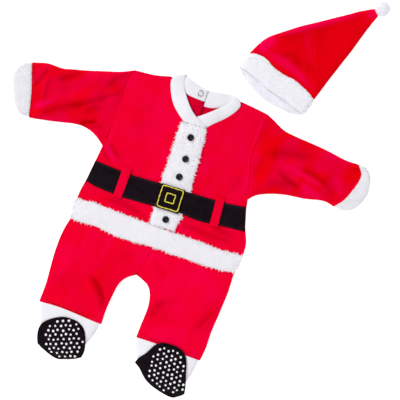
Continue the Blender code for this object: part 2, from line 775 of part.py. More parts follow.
def add_neckband(side, back, fold, front, back_lift, front_lift):
    half = BAND / 2
    rings = [band_section(row, lambda x, y: half + back_lift(x), (0, 0, -1), half) for row in back]
    run_x, run_y = fold.free_x - fold.seam_x, fold.free_y - fold.seam_y
    length = math.hypot(run_x, run_y)
    out_x, out_y = -run_y / length, run_x / length
    if out_y < 0:
        out_x, out_y = -out_x, -out_y
    low = half
    high = front_band_middle(fold.seam_x, fold.seam_y)
    radius = (high - low) / 2
    for turn in (-75, -25, 25, 75):
        a = math.radians(turn)
        out = radius * math.cos(a) - radius - half
        row = Band(fold.seam_x + out_x * out, fold.seam_y + out_y * out,
                   fold.free_x + out_x * out, fold.free_y + out_y * out)
        level = low + radius + radius * math.sin(a)
        lean = (out_x * math.cos(a), out_y * math.cos(a), math.sin(a))
        rings.append(band_section(row, lambda x, y: level, lean, half))
    for row in front:
        section = band_section(row, lambda x, y: front_band_middle(x, y) + front_lift(x), (0, 0, 1), half)
        rings.append(section)
    add_loft("neckband_" + side, [rings], "plush_white")


def add_neckbands():
    step = BAND + SEAM

    def back_lift(x):
        return step * left_lap(x)

    def front_lift(x):
        return step * ease((x - BAND_LAP_X) / BAND_LAP_RAMP)

    def flat(x):
        return 0.0

    add_neckband("left", BAND_LEFT_BACK, BAND_LEFT_FOLD, BAND_LEFT_FRONT, back_lift, front_lift)
    add_neckband("right", BAND_RIGHT_BACK, BAND_RIGHT_FOLD, BAND_RIGHT_FRONT, flat, flat)


# Trims, belt and buckle

def plush_height(part, edge, full):
    """Thickness of a plush strip across its width, full in the middle and round at its edges."""
    return edge + (full - edge) * swell(min(part, 1 - part) * 5)


def add_placket():
    parts = [0.0, 0.1, 0.35, 0.65, 0.9, 1.0]
    rows = [[mix((p.left, p.y), (p.right, p.y), part) for part in parts] for p in PLACKET]
    rows.reverse()

    def top(x, y, r, c):
        full = placket_thickness(y)
        return front_top(x, y) + SEAM + plush_height(parts[c], 0.6 * full, full)

    add_slab("placket_trim", rows, lambda x, y: front_top(x, y) + SEAM, top, "plush_white")


def add_hem_trim():
    upper = along(TRIM_TOP, TRIM_COLUMNS)
    lower = along(TRIM_BOTTOM, TRIM_COLUMNS)
    rows = [[mix(b, t, part) for t, b in zip(upper, lower)] for part in TRIM_ROWS]
    for row in rows[1:-1]:
        row[0] = (row[0][0] - TRIM_BULGE, row[0][1])
        row[-1] = (row[-1][0] + TRIM_BULGE, row[-1][1])

    def top(x, y, r, c):
        full = PLUSH if 0 < c < TRIM_COLUMNS else 0.7 * PLUSH
        return front_top(x, y) + SEAM + plush_height(TRIM_ROWS[r], PLUSH_EDGE, full)

    add_slab("hem_trim", rows, lambda x, y: front_top(x, y) + SEAM, top, "plush_white")


def add_belt():
    rows = []
    for part in BELT_ROWS:
        left_end = mix(BELT_BOTTOM[0], BELT_TOP[0], part)
        right_end = mix(BELT_BOTTOM[-1], BELT_TOP[-1], part)
        row = [left_end]
        for x in BELT_COLUMNS:
            row.append((x, mix((between(BELT_BOTTOM, x), 0), (between(BELT_TOP, x), 0), part)[0]))
        row.append(right_end)
        rows.append(row)

    def top(x, y, r, c):
        worn = BELT_WORN * BELT if r in (0, len(BELT_ROWS) - 1) else 0.0
        return belt_top(x, y) - worn

    add_slab("belt", rows, belt_under, top, "cloth_black")


def add_loops():
    for loop in LOOPS:
        rows = []
        for y in (LOOP_TOP_Y, 24.0, 20.0, 12.0, 0.0, -12.0, loop.bottom_y + LOOP_STEP, loop.bottom_y):
            part = (LOOP_TOP_Y - y) / (LOOP_TOP_Y - loop.bottom_y)
            start = mix((loop.top_from, 0), (loop.bottom_from, 0), part)[0]
            stop = mix((loop.top_to, 0), (loop.bottom_to, 0), part)[0]
            rows.append([mix((start, y), (stop, y), c) for c in (0.0, 0.15, 0.5, 0.85, 1.0)])
        rows.reverse()

        def under(x, y, loop=loop):
            on_belt = min(ease((LOOP_TOP_Y - 3 - y) / 4), ease((y - loop.bottom_y) / LOOP_STEP))
            return front_top(x, y) + SEAM + on_belt * (BELT + SEAM)

        def top(x, y, r, c, under=under):
            return under(x, y) + LOOP * (LOOP_EDGE if c in (0, 4) else 1.0)

        add_slab(loop.name, rows, under, top, "velour_red")


def add_patch():
    last = len(PATCH_LINES) - 1
    rows = [[(x, y) for x in PATCH_LINES] for y in PATCH_LINES]

    def top(x, y, r, c):
        frame = min(r, c, last - r, last - c)
        stitched = PATCH_LINE if frame in (1, 3) else 0.0
        return belt_top(x, y) + SEAM + PATCH + stitched

    add_slab("buckle_patch", rows, lambda x, y: belt_top(x, y) + SEAM, top, "cloth_black")


def add_snaps():
    profile = [(0, 0.77), (0.44, 0.8), (0.58, 1), (0.84, 0.93), (1, 0.57), (0.96, 0), (0, 0)]
    for k, (x, y) in enumerate(SNAPS, 1):
        mesh = bpy.data.meshes.new(f"snap_{k}")
        points = [(r * SNAP_RADIUS * MM, 0, z * SNAP_HEIGHT * MM) for r, z in profile]
        mesh.from_pydata(points, [(i, i + 1) for i in range(len(points) - 1)], [])
        made = bpy.data.objects.new(f"snap_{k}", mesh)
        suit.objects.link(made)
        made.location = (x * MM, y * MM, (placket_top(x, y) + SEAM) * MM)
        turn = made.modifiers.new("Turn", "SCREW")
        turn.angle = math.tau
        turn.steps = turn.render_steps = 18
        turn.use_merge_vertices = True
        turn.merge_threshold = 0.00001
        turn.use_smooth_shade = True
        mesh.materials.append(material("snap_black"))


def add_neck_ring():
    x, y = NECK_SNAP
    bpy.ops.mesh.primitive_torus_add(major_segments=20, minor_segments=8,
                                     major_radius=RING_RADIUS * MM, minor_radius=RING_WIRE * MM)
    ring = bpy.context.object
    ring.name = ring.data.name = "neck_snap_ring"
    for v in ring.data.vertices:
        v.co.y *= RING_STRETCH
    ring.location = (x * MM, y * MM, (2 * BAND + 2 * SEAM + RING_WIRE + 0.2) * MM)
    ring.rotation_euler = (0, 0, math.radians(RING_TURN))
    ring.data.materials.append(material("ring_steel"))
    for home in list(ring.users_collection):
        home.objects.unlink(ring)
    suit.objects.link(ring)


# Shoes

def add_shoes():
    for side, table in (("left", SHOE_LEFT), ("right", SHOE_RIGHT)):
        bases = [(s.y, s.base) for s in table]
        parts = [0.0, 0.05, 0.2, 0.4, 0.6, 0.8, 0.95, 1.0]
        rows = [[mix((s.upper_from, s.y), (s.upper_to, s.y), p) for p in parts] for s in table]
        last = len(rows) - 1

        def upper_under(x, y):
            return between(bases, y)

        def upper_top(x, y, r, c):
            rim = SHOE_RIM if c in (0, len(parts) - 1) or r in (0, last) else 1.0
            return between(bases, y) + UPPER * rim

        rows.reverse()
        add_slab("shoe_upper_" + side, rows, upper_under, upper_top, "cloth_black")
        soled = [s for s in table if s.sole_from is not None]
        soled.reverse()
        rows = [[mix((s.sole_from, s.y), (s.sole_to, s.y), p) for p in parts] for s in soled]
        high_y, low_y = soled[-1].y, soled[0].y

        def sole_under(x, y):
            return between(bases, y) + UPPER + SEAM

        def sole_top(x, y, r, c):
            dome = swell(min(parts[c], 1 - parts[c]) * 2.6)
            dome *= swell(min(high_y - y, y - low_y) / 0.4 / (high_y - low_y))
            return sole_under(x, y) + SOLE + SOLE_CROWN * dome

        add_slab("sole_" + side, rows, sole_under, sole_top, "cloth_black")


# Hat

def add_hat():
    count = 10
    seam = spaced(CROWN_SEAM, count)
    lines = [(seam, seam)] + station_lines(CROWN, count)
    heights = [(CROWN_EDGE, CROWN_MIDDLE - 0.8, 0)] + heights_of(CROWN)
    tip = CROWN[-1]
    middle = ((tip.from_x + tip.to_x) / 2, (tip.from_y + tip.to_y) / 2)
    reach = math.dist(middle, (POMPOM_X, POMPOM_Y))
    towards = ((POMPOM_X - middle[0]) / reach, (POMPOM_Y - middle[1]) / reach)
    end = (POMPOM_X - towards[0] * (POMPOM_CORE + 0.5), POMPOM_Y - towards[1] * (POMPOM_CORE + 0.5))
    line = spaced([(end[0] - towards[1] * TIP_WIDTH, end[1] + towards[0] * TIP_WIDTH),
                   (end[0] + towards[1] * TIP_WIDTH, end[1] - towards[0] * TIP_WIDTH)], count)
    lines.append((line, line))
    heights.append((TIP_EDGE, TIP_MIDDLE, TIP_LIFT))
    add_loft("hat_crown", tube_rings(lines, heights, CLOTH, CROWN_FOLDS), "velour_red")

    start = [(x - 0.5, y - 1.0) for x, y in seam]
    upper_mouth = spaced(BRIM_MOUTH_TOP, count)
    lower_mouth = spaced(BRIM_MOUTH_BOTTOM, count)
    lines, heights = [], []
    for part, swelling in ((0.0, -1.6), (0.2, 0.0), (0.55, 0.2), (0.85, 0.0), (1.0, -1.4)):
        upper = [mix(a, b, part) for a, b in zip(start, upper_mouth)]
        lower = [mix(a, b, part) for a, b in zip(start, lower_mouth)]
        reach = BRIM_BULGE * math.sin(math.pi * part)
        for row in (upper, lower):
            row[0] = (row[0][0] - reach, row[0][1])
            row[-1] = (row[-1][0] + 0.6 * reach, row[-1][1])
        lines.append((upper, lower))
        heights.append((BRIM_EDGE + 0.5 * swelling, BRIM_MIDDLE + swelling, 0))
    add_loft("hat_brim", tube_rings(lines, heights, BRIM_WALL, []), "plush_white")
    add_pompom(towards)


def add_pompom(towards):
    """A ball of yarn locks on a core, none of them towards the crown that holds it."""
    work = bmesh.new()
    bmesh.ops.create_cube(work, size=2)
    bmesh.ops.subdivide_edges(work, edges=work.edges[:], cuts=POMPOM_CUTS, use_grid_fill=True)
    for v in work.verts:
        v.co = v.co.normalized() * POMPOM_CORE * MM
    for k, face in enumerate(list(work.faces)):
        middle = face.calc_center_median().normalized()
        if -(middle.x * towards[0] + middle.y * towards[1]) > POMPOM_BARE:
            continue
        lock = (POMPOM_RADIUS - POMPOM_CORE) * (0.85 + 0.15 * math.sin(2.4 * k))
        bmesh.ops.poke(work, faces=[face], offset=lock * MM)
    for v in work.verts:
        v.co.x += POMPOM_X * MM
        v.co.y += POMPOM_Y * MM
        v.co.z += (POMPOM_RADIUS + SEAM) * MM
    mesh = bpy.data.meshes.new("hat_pompom")
    work.to_mesh(mesh)
    work.free()
    add_object("hat_pompom", mesh, "plush_white")


for old in list(bpy.data.objects):
    bpy.data.objects.remove(old)
suit = bpy.data.collections.new("santa_suit")
bpy.context.scene.collection.children.link(suit)
add_body()
add_trousers()
add_sleeves()
add_ankles()
add_neckbands()
add_placket()
add_hem_trim()
add_belt()
add_loops()
add_patch()
add_snaps()
add_neck_ring()
add_shoes()
add_hat()
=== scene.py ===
"""The looks of a baby's santa suit laid out flat with its hat: red velour, white plush
with its pile, the black belt with its embroidered buckle, the snaps and the dotted soles.

Each cloth piece is a finer copy of its solid, with its creases, rolled edges and finish.
Tables are in millimetres in the suit's own frame: X to the viewer's right, Y from the
feet to the neck, Z up off the floor.
"""

import math
from collections import namedtuple

import bmesh
import bpy
import numpy as np
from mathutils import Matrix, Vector
from mathutils.bvhtree import BVHTree


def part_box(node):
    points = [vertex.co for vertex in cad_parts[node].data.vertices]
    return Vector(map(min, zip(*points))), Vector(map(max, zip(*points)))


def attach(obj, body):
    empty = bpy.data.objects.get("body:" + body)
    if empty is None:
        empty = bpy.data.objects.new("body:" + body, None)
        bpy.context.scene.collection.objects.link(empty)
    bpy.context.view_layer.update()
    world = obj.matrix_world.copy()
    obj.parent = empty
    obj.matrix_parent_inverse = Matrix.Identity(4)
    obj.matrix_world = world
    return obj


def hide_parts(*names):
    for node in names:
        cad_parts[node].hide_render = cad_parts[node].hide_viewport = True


bl_info = {
    "name": "Santa Suit",
    "version": (1, 0, 0),
    "blender": (4, 5, 0),
    "location": "3D View > Sidebar > Santa Suit",
    "description": "Dresses the frame of a baby's santa suit and hat in velour and plush",
    "category": "Add Mesh",
}

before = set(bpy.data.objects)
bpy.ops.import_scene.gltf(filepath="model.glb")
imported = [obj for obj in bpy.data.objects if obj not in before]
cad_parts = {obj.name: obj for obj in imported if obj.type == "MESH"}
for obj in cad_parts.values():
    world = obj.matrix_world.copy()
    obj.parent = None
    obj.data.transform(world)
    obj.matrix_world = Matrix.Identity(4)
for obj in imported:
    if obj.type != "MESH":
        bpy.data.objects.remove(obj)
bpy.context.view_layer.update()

MM = 0.001
WELD = 0.000001
RIM_ANGLE = math.radians(50)
CORNER_ANGLE = math.radians(38)
UPRIGHT = 0.9
SHEEN_ROUGHNESS = 0.45
FROM_ABOVE = 0.1
PILE_FLOOR = 0.05

# How the picture was taken: straight down, the suit turned on the floor
PHOTO_TURN = math.radians(17.5)
PHOTO_WIDTH = 0.640
PHOTO_CENTRE = (0.0459, 0.0120)

Crease = namedtuple("Crease", "from_x from_y to_x to_y bow width height")
Cut = namedtuple("Cut", "node levels width length area", defaults=[None])

# The pieces: their solids, how finely they are made, and the cut of each in metres
VELOUR = [
    Cut("front_body", 3, 0.280, 0.250, 0.0570),
    Cut("back_left", 2, 0.150, 0.251, 0.0355),
    Cut("back_right", 2, 0.152, 0.246, 0.0325),
    Cut("trouser_front_left", 3, 0.148, 0.159, 0.0196),
    Cut("trouser_front_right", 3, 0.152, 0.167, 0.0198),
    Cut("trouser_back_left", 2, 0.148, 0.159, 0.0196),
    Cut("trouser_back_right", 2, 0.152, 0.167, 0.0198),
    Cut("sleeve_left", 3, 0.262, 0.150, 0.0300),
    Cut("sleeve_right", 3, 0.276, 0.155, 0.0310),
    Cut("hat_crown", 3, 0.256, 0.190, 0.0270),
    Cut("belt_loop_left", 2, 0.0135, 0.053),
    Cut("belt_loop_right", 2, 0.0135, 0.050),
]
PLUSH = [
    Cut("cuff_left", 2, 0.172, 0.028),
    Cut("cuff_right", 2, 0.164, 0.024),
    Cut("placket_trim", 2, 0.047, 0.170),
    Cut("hem_trim", 2, 0.280, 0.034),
    Cut("hat_brim", 2, 0.262, 0.048),
]
JERSEY = [
    Cut("neckband_left", 2, 0.022, 0.190),
    Cut("neckband_right", 2, 0.022, 0.185),
    Cut("ankle_left", 2, 0.190, 0.060),
    Cut("ankle_right", 2, 0.200, 0.052),
]
BLACK = [
    Cut("belt", 2, 0.262, 0.038),
    Cut("shoe_upper_left", 3, 0.082, 0.070, 0.0045),
    Cut("shoe_upper_right", 3, 0.090, 0.082, 0.0055),
]

# Creases, listed one by one: up for a ridge, down for a trough, bowed to the right of their way
CREASES = [
    # left sleeve: long folds from the shoulder, the tuck at the armpit, and pulls at the cuff
    Crease(-230, 125, -187, 154, 1.5, 4.0, -1.6),
    Crease(-246, 140, -262, 98, 0, 2.8, -1.2),
    Crease(-242, 128, -238, 79, 3, 3.0, 0.9),
    Crease(-240, 128, -234, 76, 0, 4.0, -0.8),
    Crease(-235, 84, -221, 91, 0, 2.6, -1.2),
    Crease(-238, 64, -170, 102, -4, 4.5, -1.5),
    Crease(-196, 92, -122, 138, 2, 4.0, -1.6),
    Crease(-176, 94, -152, 111, 0, 2.5, 1.0),
    Crease(-173, 90, -143, 106, 0, 4.0, -1.0),
    Crease(-176, 68, -146, 83, -1, 2.2, -1.4),
    Crease(-160, 73, -132, 74, 0, 4.0, -0.9),
    Crease(-150, 136, -114, 178, -3, 4.0, -1.3),
    Crease(-165, 128, -122, 150, 0, 10.0, -0.9),
    # body: pulls at the armpit, soft bands across the chest, and folds under the belt
    Crease(-126, 45, -103, 26, 1, 3.0, -1.3),
    Crease(-120, 55, -90, 36, 2, 3.4, -1.1),
    Crease(-94, 93, -37, 99, 0, 8.0, -0.7),
    Crease(-90, 122, -60, 128, 0, 5.0, -0.4),
    Crease(-100, -31, -20, -42, -4, 3.4, -1.2),
    Crease(30, -34, 122, -38, 1, 3.4, -1.1),
    Crease(76, -23, 122, -27.5, 0, 3.0, -0.9),
    Crease(70, -28, 110, -36, 0, 3.5, 1.0),
    Crease(98, 68, 92, 34, 0, 5.0, -0.9),
    Crease(106, 168, 101, 100, 0, 2.0, 0.8),
    Crease(101, 100, 112, 52, -1, 2.0, 0.8),
    # right sleeve: folds that fan out from the body, and short ones at the cuff
    Crease(125, 112, 208, 129, -5, 5.5, -2.0),
    Crease(128, 121, 190, 140, -4, 10.0, -0.9),
    Crease(128, 107, 229, 94, -1, 3.5, 1.3),
    Crease(141, 68, 195, 80, -3, 5.5, -1.7),
    Crease(150, 94, 196, 76, 1, 3.0, -1.1),
    Crease(184, 108, 244, 88, -4.5, 3.0, -1.2),
    Crease(187, 143, 230, 135, 0, 4.0, 0.8),
    Crease(232, 112, 250, 76, 0, 9.0, -1.3),
    Crease(266, 136, 274, 128, 0, 5.0, -1.2),
    Crease(121, 110, 118, 62, 0, 5.0, -0.9),
    Crease(112, 172, 118, 120, 0, 5.0, -0.5),
    # trousers: the deep fold at the left inseam, broad dips, and the sewn hems
    Crease(-84, -154, -48, -202, -6, 3.4, -1.9),
    Crease(-88, -163, -56, -204, -4, 4.0, 1.2),
    Crease(-119, -158, -100, -204, 0, 18.0, -1.6),
    Crease(38, -158, 60, -202, 0, 18.0, -1.6),
    Crease(42, -154, 26, -197, 1, 4.0, -1.0),
    Crease(121, -150, 102, -190, 0, 4.0, -0.9),
    Crease(-26, -100, -52, -124, 0, 4.0, -0.5),
    Crease(6, -100, 34, -126, 0, 4.0, -0.5),
    Crease(-146, -213, -50, -218, 3, 1.4, -0.6),
    Crease(18, -221, 120, -226, 1.5, 1.4, -0.6),
    # hat: the fold along its long side, the arc above the brim, and short pulls
    Crease(90, 293, 200, 368, 0, 6.0, -1.6),
    Crease(98, 268, 141, 257, -11, 5.5, -1.4),
    Crease(142, 268, 165, 262, 0, 4.0, -0.7),
    Crease(140, 331, 167, 253, 2, 2.0, 0.5),
    Crease(158, 288, 178, 301, 0, 5.0, -0.6),
]
# Painted sheen, as pinker bands where the pile faces the light: their last number is how strongly
PAINTED_SHEEN_BANDS = [
    Crease(80, 298, 62, 262, 0, 9.0, 1.0),
    Crease(74, 268, 166, 233, -6, 6.0, 0.7),
    Crease(86, 301, 208, 376, 0, 4.0, 0.8),
    Crease(214, 370, 222, 384, 0, 6.0, 0.8),
    Crease(124, 322, 150, 268, 0, 6.0, 0.15),
    Crease(-252, 74, -221, 95, 0, 4.5, 0.9),
    Crease(-245, 58, -190, 66, 0, 6.0, 0.5),
    Crease(-150, 120, -120, 128, 0, 9.0, 0.4),
    Crease(-126, 52, -98, 24, 0, 5.0, 0.8),
    Crease(150, 106, 232, 88, -2, 4.5, 0.7),
    Crease(190, 84, 232, 74, 2, 7.0, 0.8),
    Crease(238, 116, 262, 84, 0, 8.0, 0.5),
    Crease(196, 142, 262, 136, -2, 5.0, 0.4),
    Crease(104, 168, 100, 112, 0, 3.0, 0.45),
    Crease(100, 112, 112, 50, -2, 3.0, 0.4),
]
# Shallow dents in the cloth's underside, where the suit lies on them
UNDER_CREASES = [
    Crease(-112, 150, -60, 118, 4, 5.0, 0.8),
    Crease(-118, 40, -40, 66, -6, 6.0, 0.7),
    Crease(-60, -20, 34, -34, 5, 5.0, 0.8),
    Crease(24, 128, 96, 96, -5, 5.0, 0.7),
    Crease(30, 20, 110, 44, 6, 6.0, 0.8),
    Crease(-136, -92, -62, -118, 5, 5.0, 0.8),
    Crease(-118, -150, -84, -202, 4, 6.0, 0.7),
    Crease(18, -104, 104, -128, -6, 5.0, 0.8),
    Crease(52, -156, 94, -206, 5, 6.0, 0.7),
    Crease(-236, 92, -152, 118, 6, 5.0, 0.8),
    Crease(-206, 140, -150, 148, -3, 4.0, 0.6),
    Crease(134, 112, 216, 98, -6, 5.0, 0.8),
    Crease(176, 136, 240, 122, 3, 4.0, 0.6),
    Crease(92, 286, 164, 318, 7, 6.0, 0.8),
    Crease(120, 264, 178, 296, -4, 5.0, 0.6),
]
CUSP = 0.39
SHOULDER = 0.18
# How strongly a crease's trough is painted darker, as painted shade: more for deeper, narrower troughs
DARKENING = 1.35
NARROW = 6.0

# The armhole seams, where sleeve and body meet without a step
ARMHOLES = [
    [(-115.2, 178), (-128.2, 48)],
    [(108.2, 174), (102.0, 136), (102.2, 117), (103.7, 97), (107.2, 77), (112.0, 57), (118.2, 36)],
]
ARMHOLE_HEIGHT = 3.9
SEAM_LAP = 0.12
ARMHOLE_REACH = 16.0
ARMHOLE_BAND = 3.0
FLAT_SEAM = 1.5
RIM_REACH = 0.45
FRONT_REST = (1.5, 0.35)
TUBE_REST = (2.0, 1.4)
JOINED = ("front_body", "sleeve_left", "sleeve_right")
TUBES = ("sleeve_left", "sleeve_right", "hat_crown")
FRINGED = ("placket_trim", "hem_trim")
# Painted shade and tone on a piece: how much its red is painted deeper all over, how far from its armhole
# that shade grows in, and how strong its broad patches of pure red are
Nap = namedtuple("Nap", "deepened reach patches")
PIECE_SHADE_AND_TONE = {
    "sleeve_left": Nap(0.17, 70.0, 0.8),
    "sleeve_right": Nap(0.09, 6.0, 1.0),
    "hat_crown": Nap(0.08, 1.0, 0.3),
}
PLAIN_SHADE_AND_TONE = Nap(0.0, 1.0, 0.35)

BUCKLE_OUTER = 17.2
BUCKLE_INNER = 7.1
BUCKLE_WAVE = 0.35
SQUARENESS = 12.5
BELT_SEWING_INSET = 2.5
HEM_SEWING_INSET = 4.6
PLACKET_UNDER_BELT = (-21.0, 20.0)
SNAP_PROFILE_RADIUS = 5.5
SNAP_PROFILE = [
    (0.0, 2.55), (0.9, 2.5), (1.9, 2.3), (2.5, 2.35), (3.0, 2.8), (3.7, 3.0), (4.5, 2.85), (5.1, 2.4),
    (5.45, 1.7), (5.5, 0.9), (5.3, 0.1), (0.0, 0.0),
]
POMPOM_CORE = 0.93
BUCKLE_ROW_STEP = 0.62
BUCKLE_POINTS = 160
BUCKLE_OFFSET = 0.3
DOT_REACH = 7
DOT_ROW_STEP = 0.86
DOT_STRAY = 0.0009
DOT_ROOM = 0.0012
# The lamps: where they stand, how wide they are, and their share of the key light's power
LAMPS = {
    "key_light": ((-3.26, 1.72, 3.35), 1.2, 1.0),
    "foot_light": ((0.35, -1.1, 1.2), 0.8, 0.045),
}
SOLES = [
    Cut("sole_left", 3, 0.070, 0.068),
    Cut("sole_right", 3, 0.068, 0.080),
]


# Settings that a user would change

def colour_setting(name, description, default):
    return bpy.props.FloatVectorProperty(name=name, description=description, subtype="COLOR", size=3,
                                         min=0, max=1, default=default)


def length_setting(name, description, default, least, most):
    return bpy.props.FloatProperty(name=name, description=description, subtype="DISTANCE", unit="LENGTH",
                                   default=default, min=least, max=most)


def number_setting(name, description, default, least, most, **kind):
    return bpy.props.FloatProperty(name=name, description=description, default=default,
                                   min=least, max=most, **kind)


class VelourSettings(bpy.types.PropertyGroup):
    """Sizes and colours of the red velour"""

    bright: colour_setting("Brushed Red", "Colour where the pile is brushed towards the light",
                           (0.96, 0.0, 0.050))
    deep: colour_setting("Deep Red", "Colour where the pile is brushed away", (0.88, 0.0, 0.022))
    # Inner Red is the duller inner side of the cloth, with painted shade where it is seen down in the neck
    inside: colour_setting("Inner Red", "Colour of the cloth's inner side, seen in the neck",
                           (0.72, 0.0, 0.03))
    hat: colour_setting("Hat Red", "Pure red of the hat's velour, and of broad patches on the suit",
                        (0.92, 0.0, 0.006))
    crease: number_setting("Crease Height", "How strongly the creases stand out", 1.35, 0, 3)
    # Fold Red is painted shade, for down in the folds and for whole pieces painted darker
    fold: colour_setting("Fold Red", "Colour down in a fold", (0.50, 0.0, 0.0))
    # Pink Red is painted sheen, for the bands where the pile catches the light
    brushed: colour_setting("Pink Red", "Colour in the bands that are brushed right towards the light",
                            (0.98, 0.0, 0.080))
    ripple: length_setting("Ripple", "Height of the soft unevenness of the laid cloth", 0.0007, 0, 0.003)
    roll: length_setting("Rolled Edge", "How far the cloth's edges roll down into their seams",
                         0.0003, 0, 0.003)


class PlushSettings(bpy.types.PropertyGroup):
    """Sizes and colours of the white plush"""

    colour: colour_setting("White", "Colour of the pile's tips", (0.930, 0.925, 0.985))
    # Glow and Yarn Glow are painted glow: the pile gives off light of its own, in place of light passed on
    # between its fibres
    glow: number_setting("Glow", "Light that the pile passes on between its fibres", 0.105, 0, 1)
    yarn_glow: number_setting("Yarn Glow", "Further light that the pompom's yarn passes on", 0.07, 0, 1)
    # Cuff Shade is painted shade: the cuffs get less of the painted glow
    cuff_shade: number_setting("Cuff Shade", "How much less light the cuffs' worn pile passes on",
                               0.045, 0, 1)
    lump: length_setting("Lumps", "Height of the lumps where the pile clings together", 0.0004, 0, 0.003)
    pile: length_setting("Pile Length", "Length of the tufts of pile", 0.0013, 0.0005, 0.01)
    tuft: length_setting("Tuft Width", "Half the width of a tuft at its root", 0.00042, 0.0001, 0.002)
    density: number_setting("Tufts per Square Metre", "How many tufts stand on a square metre",
                            900000.0, 1000, 3000000)
    fringe: length_setting("Fringe Length", "Length of the tufts at the plush's rims", 0.0036, 0.0005, 0.01)
    clump: length_setting("Fringe Width", "Half the width of a tuft at the plush's rims",
                          0.0012, 0.0001, 0.004)
    fringe_density: number_setting("Fringe Tufts per Square Metre",
                                   "How many tufts stand on a square metre of rim",
                                   210000.0, 1000, 3000000)


class BeltSettings(bpy.types.PropertyGroup):
    """Sizes and colours of the belt and its buckle patch"""

    black: colour_setting("Black", "Colour of the belt's cloth", (0.0085, 0.0040, 0.0075))
    yellow: colour_setting("Yellow", "Colour of the embroidery thread", (1.0, 0.88, 0.07))
    thread: length_setting("Thread", "Half the width of one embroidery stitch", 0.00044, 0.0001, 0.002)


class SmallPartSettings(bpy.types.PropertyGroup):
    """Sizes of the snaps and of the dots on the soles"""

    snap_radius: length_setting("Snap Radius", "Radius of a snap cap", 0.0055, 0.002, 0.02)
    dot_radius: length_setting("Dot Radius", "Radius of a grip dot on the soles", 0.0019, 0.0005, 0.01)
    dot_pitch: length_setting("Dot Pitch", "Distance from one grip dot to the next", 0.0082, 0.002, 0.03)


class StageSettings(bpy.types.PropertyGroup):
    """The floor, the lights and the camera"""

    floor: colour_setting("Floor", "Colour of the floor", (0.93, 0.93, 0.94))
    glow: number_setting("Floor Glow", "Light that the white floor gives off", 0.60, 0, 2)
    key: number_setting("Key Light", "Power of the main soft light", 146.0, 0, 500, unit="POWER")
    fill: number_setting("Fill", "Strength of the light from all round", 0.44, 0, 5)
    lens: number_setting("Lens", "Focal length of the camera, in millimetres", 85.0, 20, 300)


SETTINGS = {
    "santa_velour": VelourSettings,
    "santa_plush": PlushSettings,
    "santa_belt": BeltSettings,
    "santa_small": SmallPartSettings,
    "santa_stage": StageSettings,
}


# Nodes

def wire(tree, socket, value):
    """Links an output, or a node's first one, to an input, or gives the input a value of its own."""
    if isinstance(value, bpy.types.Node):
        value = next(output for output in value.outputs if output.enabled)
    if isinstance(value, bpy.types.NodeSocket):
        tree.links.new(value, socket)
    else:
        socket.default_value = value


def set_inputs(tree, node, **values):
    """Wires a node's inputs by name; spaces in names are underscores."""
    for key, value in values.items():
        wire(tree, node.inputs[key.replace("_", " ")], value)


def add_node(tree, kind, *ordered, **values):
    """A node with its settings, and with its inputs given by name or in their order."""
    node = tree.nodes.new(kind)
    for key, value in values.items():
        if hasattr(node, key):
            setattr(node, key, value)
        else:
            set_inputs(tree, node, **{key: value})
    for socket, value in zip(node.inputs, ordered):
        wire(tree, socket, value)
    return node


# Materials

def new_material(name, roughness, sheen=0.0, sheen_tint=(1, 1, 1), specular=0.3, metallic=0.0,
                 specular_tint=(1, 1, 1)):
    made = bpy.data.materials.new(name)
    made.use_nodes = True
    tree = made.node_tree
    shader = tree.nodes["Principled BSDF"]
    set_inputs(tree, shader, Roughness=roughness, Metallic=metallic, Specular_IOR_Level=specular,
               Specular_Tint=(*specular_tint, 1), Sheen_Weight=sheen, Sheen_Roughness=SHEEN_ROUGHNESS,
               Sheen_Tint=(*sheen_tint, 1))
    return made, tree, shader


def shade_of(colour, share):
    return tuple(share * c for c in colour)


def attribute(tree, name):
    """What the piece keeps under a name at each point."""
    return add_node(tree, "ShaderNodeAttribute", attribute_name=name).outputs["Fac"]


def object_place(tree, stretch=(1, 1, 1), turn=0.0):
    """Object coordinates, stretched and turned by a Mapping node."""
    place = add_node(tree, "ShaderNodeTexCoord")
    return add_node(tree, "ShaderNodeMapping", Vector=place.outputs["Object"], Scale=stretch,
                    Rotation=(0, 0, turn))


def object_noise(tree, scale, detail=2.0, roughness=0.5, stretch=(1, 1, 1), turn=0.0):
    return add_node(tree, "ShaderNodeTexNoise", Vector=object_place(tree, stretch, turn), Scale=scale,
                    Detail=detail, Roughness=roughness)


def object_weave(tree, pitch, turn=0.0):
    """The over and under of a plain weave, as the greater of two crossed waves."""
    place = object_place(tree, turn=turn)
    waves = [
        add_node(tree, "ShaderNodeTexWave", wave_type="BANDS", bands_direction=direction, Vector=place,
                 Scale=1 / pitch, Distortion=0.6, Detail=1.0).outputs["Fac"]
        for direction in ("X", "Y")]
    return add_node(tree, "ShaderNodeMath", *waves, operation="MAXIMUM")


def blend_colours(tree, factor, low, high, start=0.35, end=0.65):
    """A ramp from one colour to the other, driven by a factor."""
    ramp = add_node(tree, "ShaderNodeValToRGB", Fac=factor)
    first, last = ramp.color_ramp.elements
    first.position, last.position = start, end
    first.color, last.color = (*low, 1), (*high, 1)
    return ramp


def darken(tree, colour, factor, low, high, start=0.0, end=1.0):
    """A colour times a share that runs from low to high as the factor goes from start to end."""
    shade = add_node(tree, "ShaderNodeMapRange", Value=factor, From_Min=start, From_Max=end,
                     To_Min=low, To_Max=high)
    return add_node(tree, "ShaderNodeMix", data_type="RGBA", blend_type="MULTIPLY", Factor=1.0,
                    A=colour, B=shade)


def speckle(tree, colour, noise, amount):
    """Darkens a colour a little by a fine noise, as the shade between threads does."""
    return darken(tree, colour, noise, 1 - amount, 1.0, 0.3, 0.7)


def add_bump(tree, shader, *heights):
    """Bumps one on another: each is a height with its strength and its depth in metres."""
    below = {}
    for height, strength, depth in heights:
        bump = add_node(tree, "ShaderNodeBump", Height=height, Strength=strength, Distance=depth, **below)
        below = {"Normal": bump}
    set_inputs(tree, shader, **below)


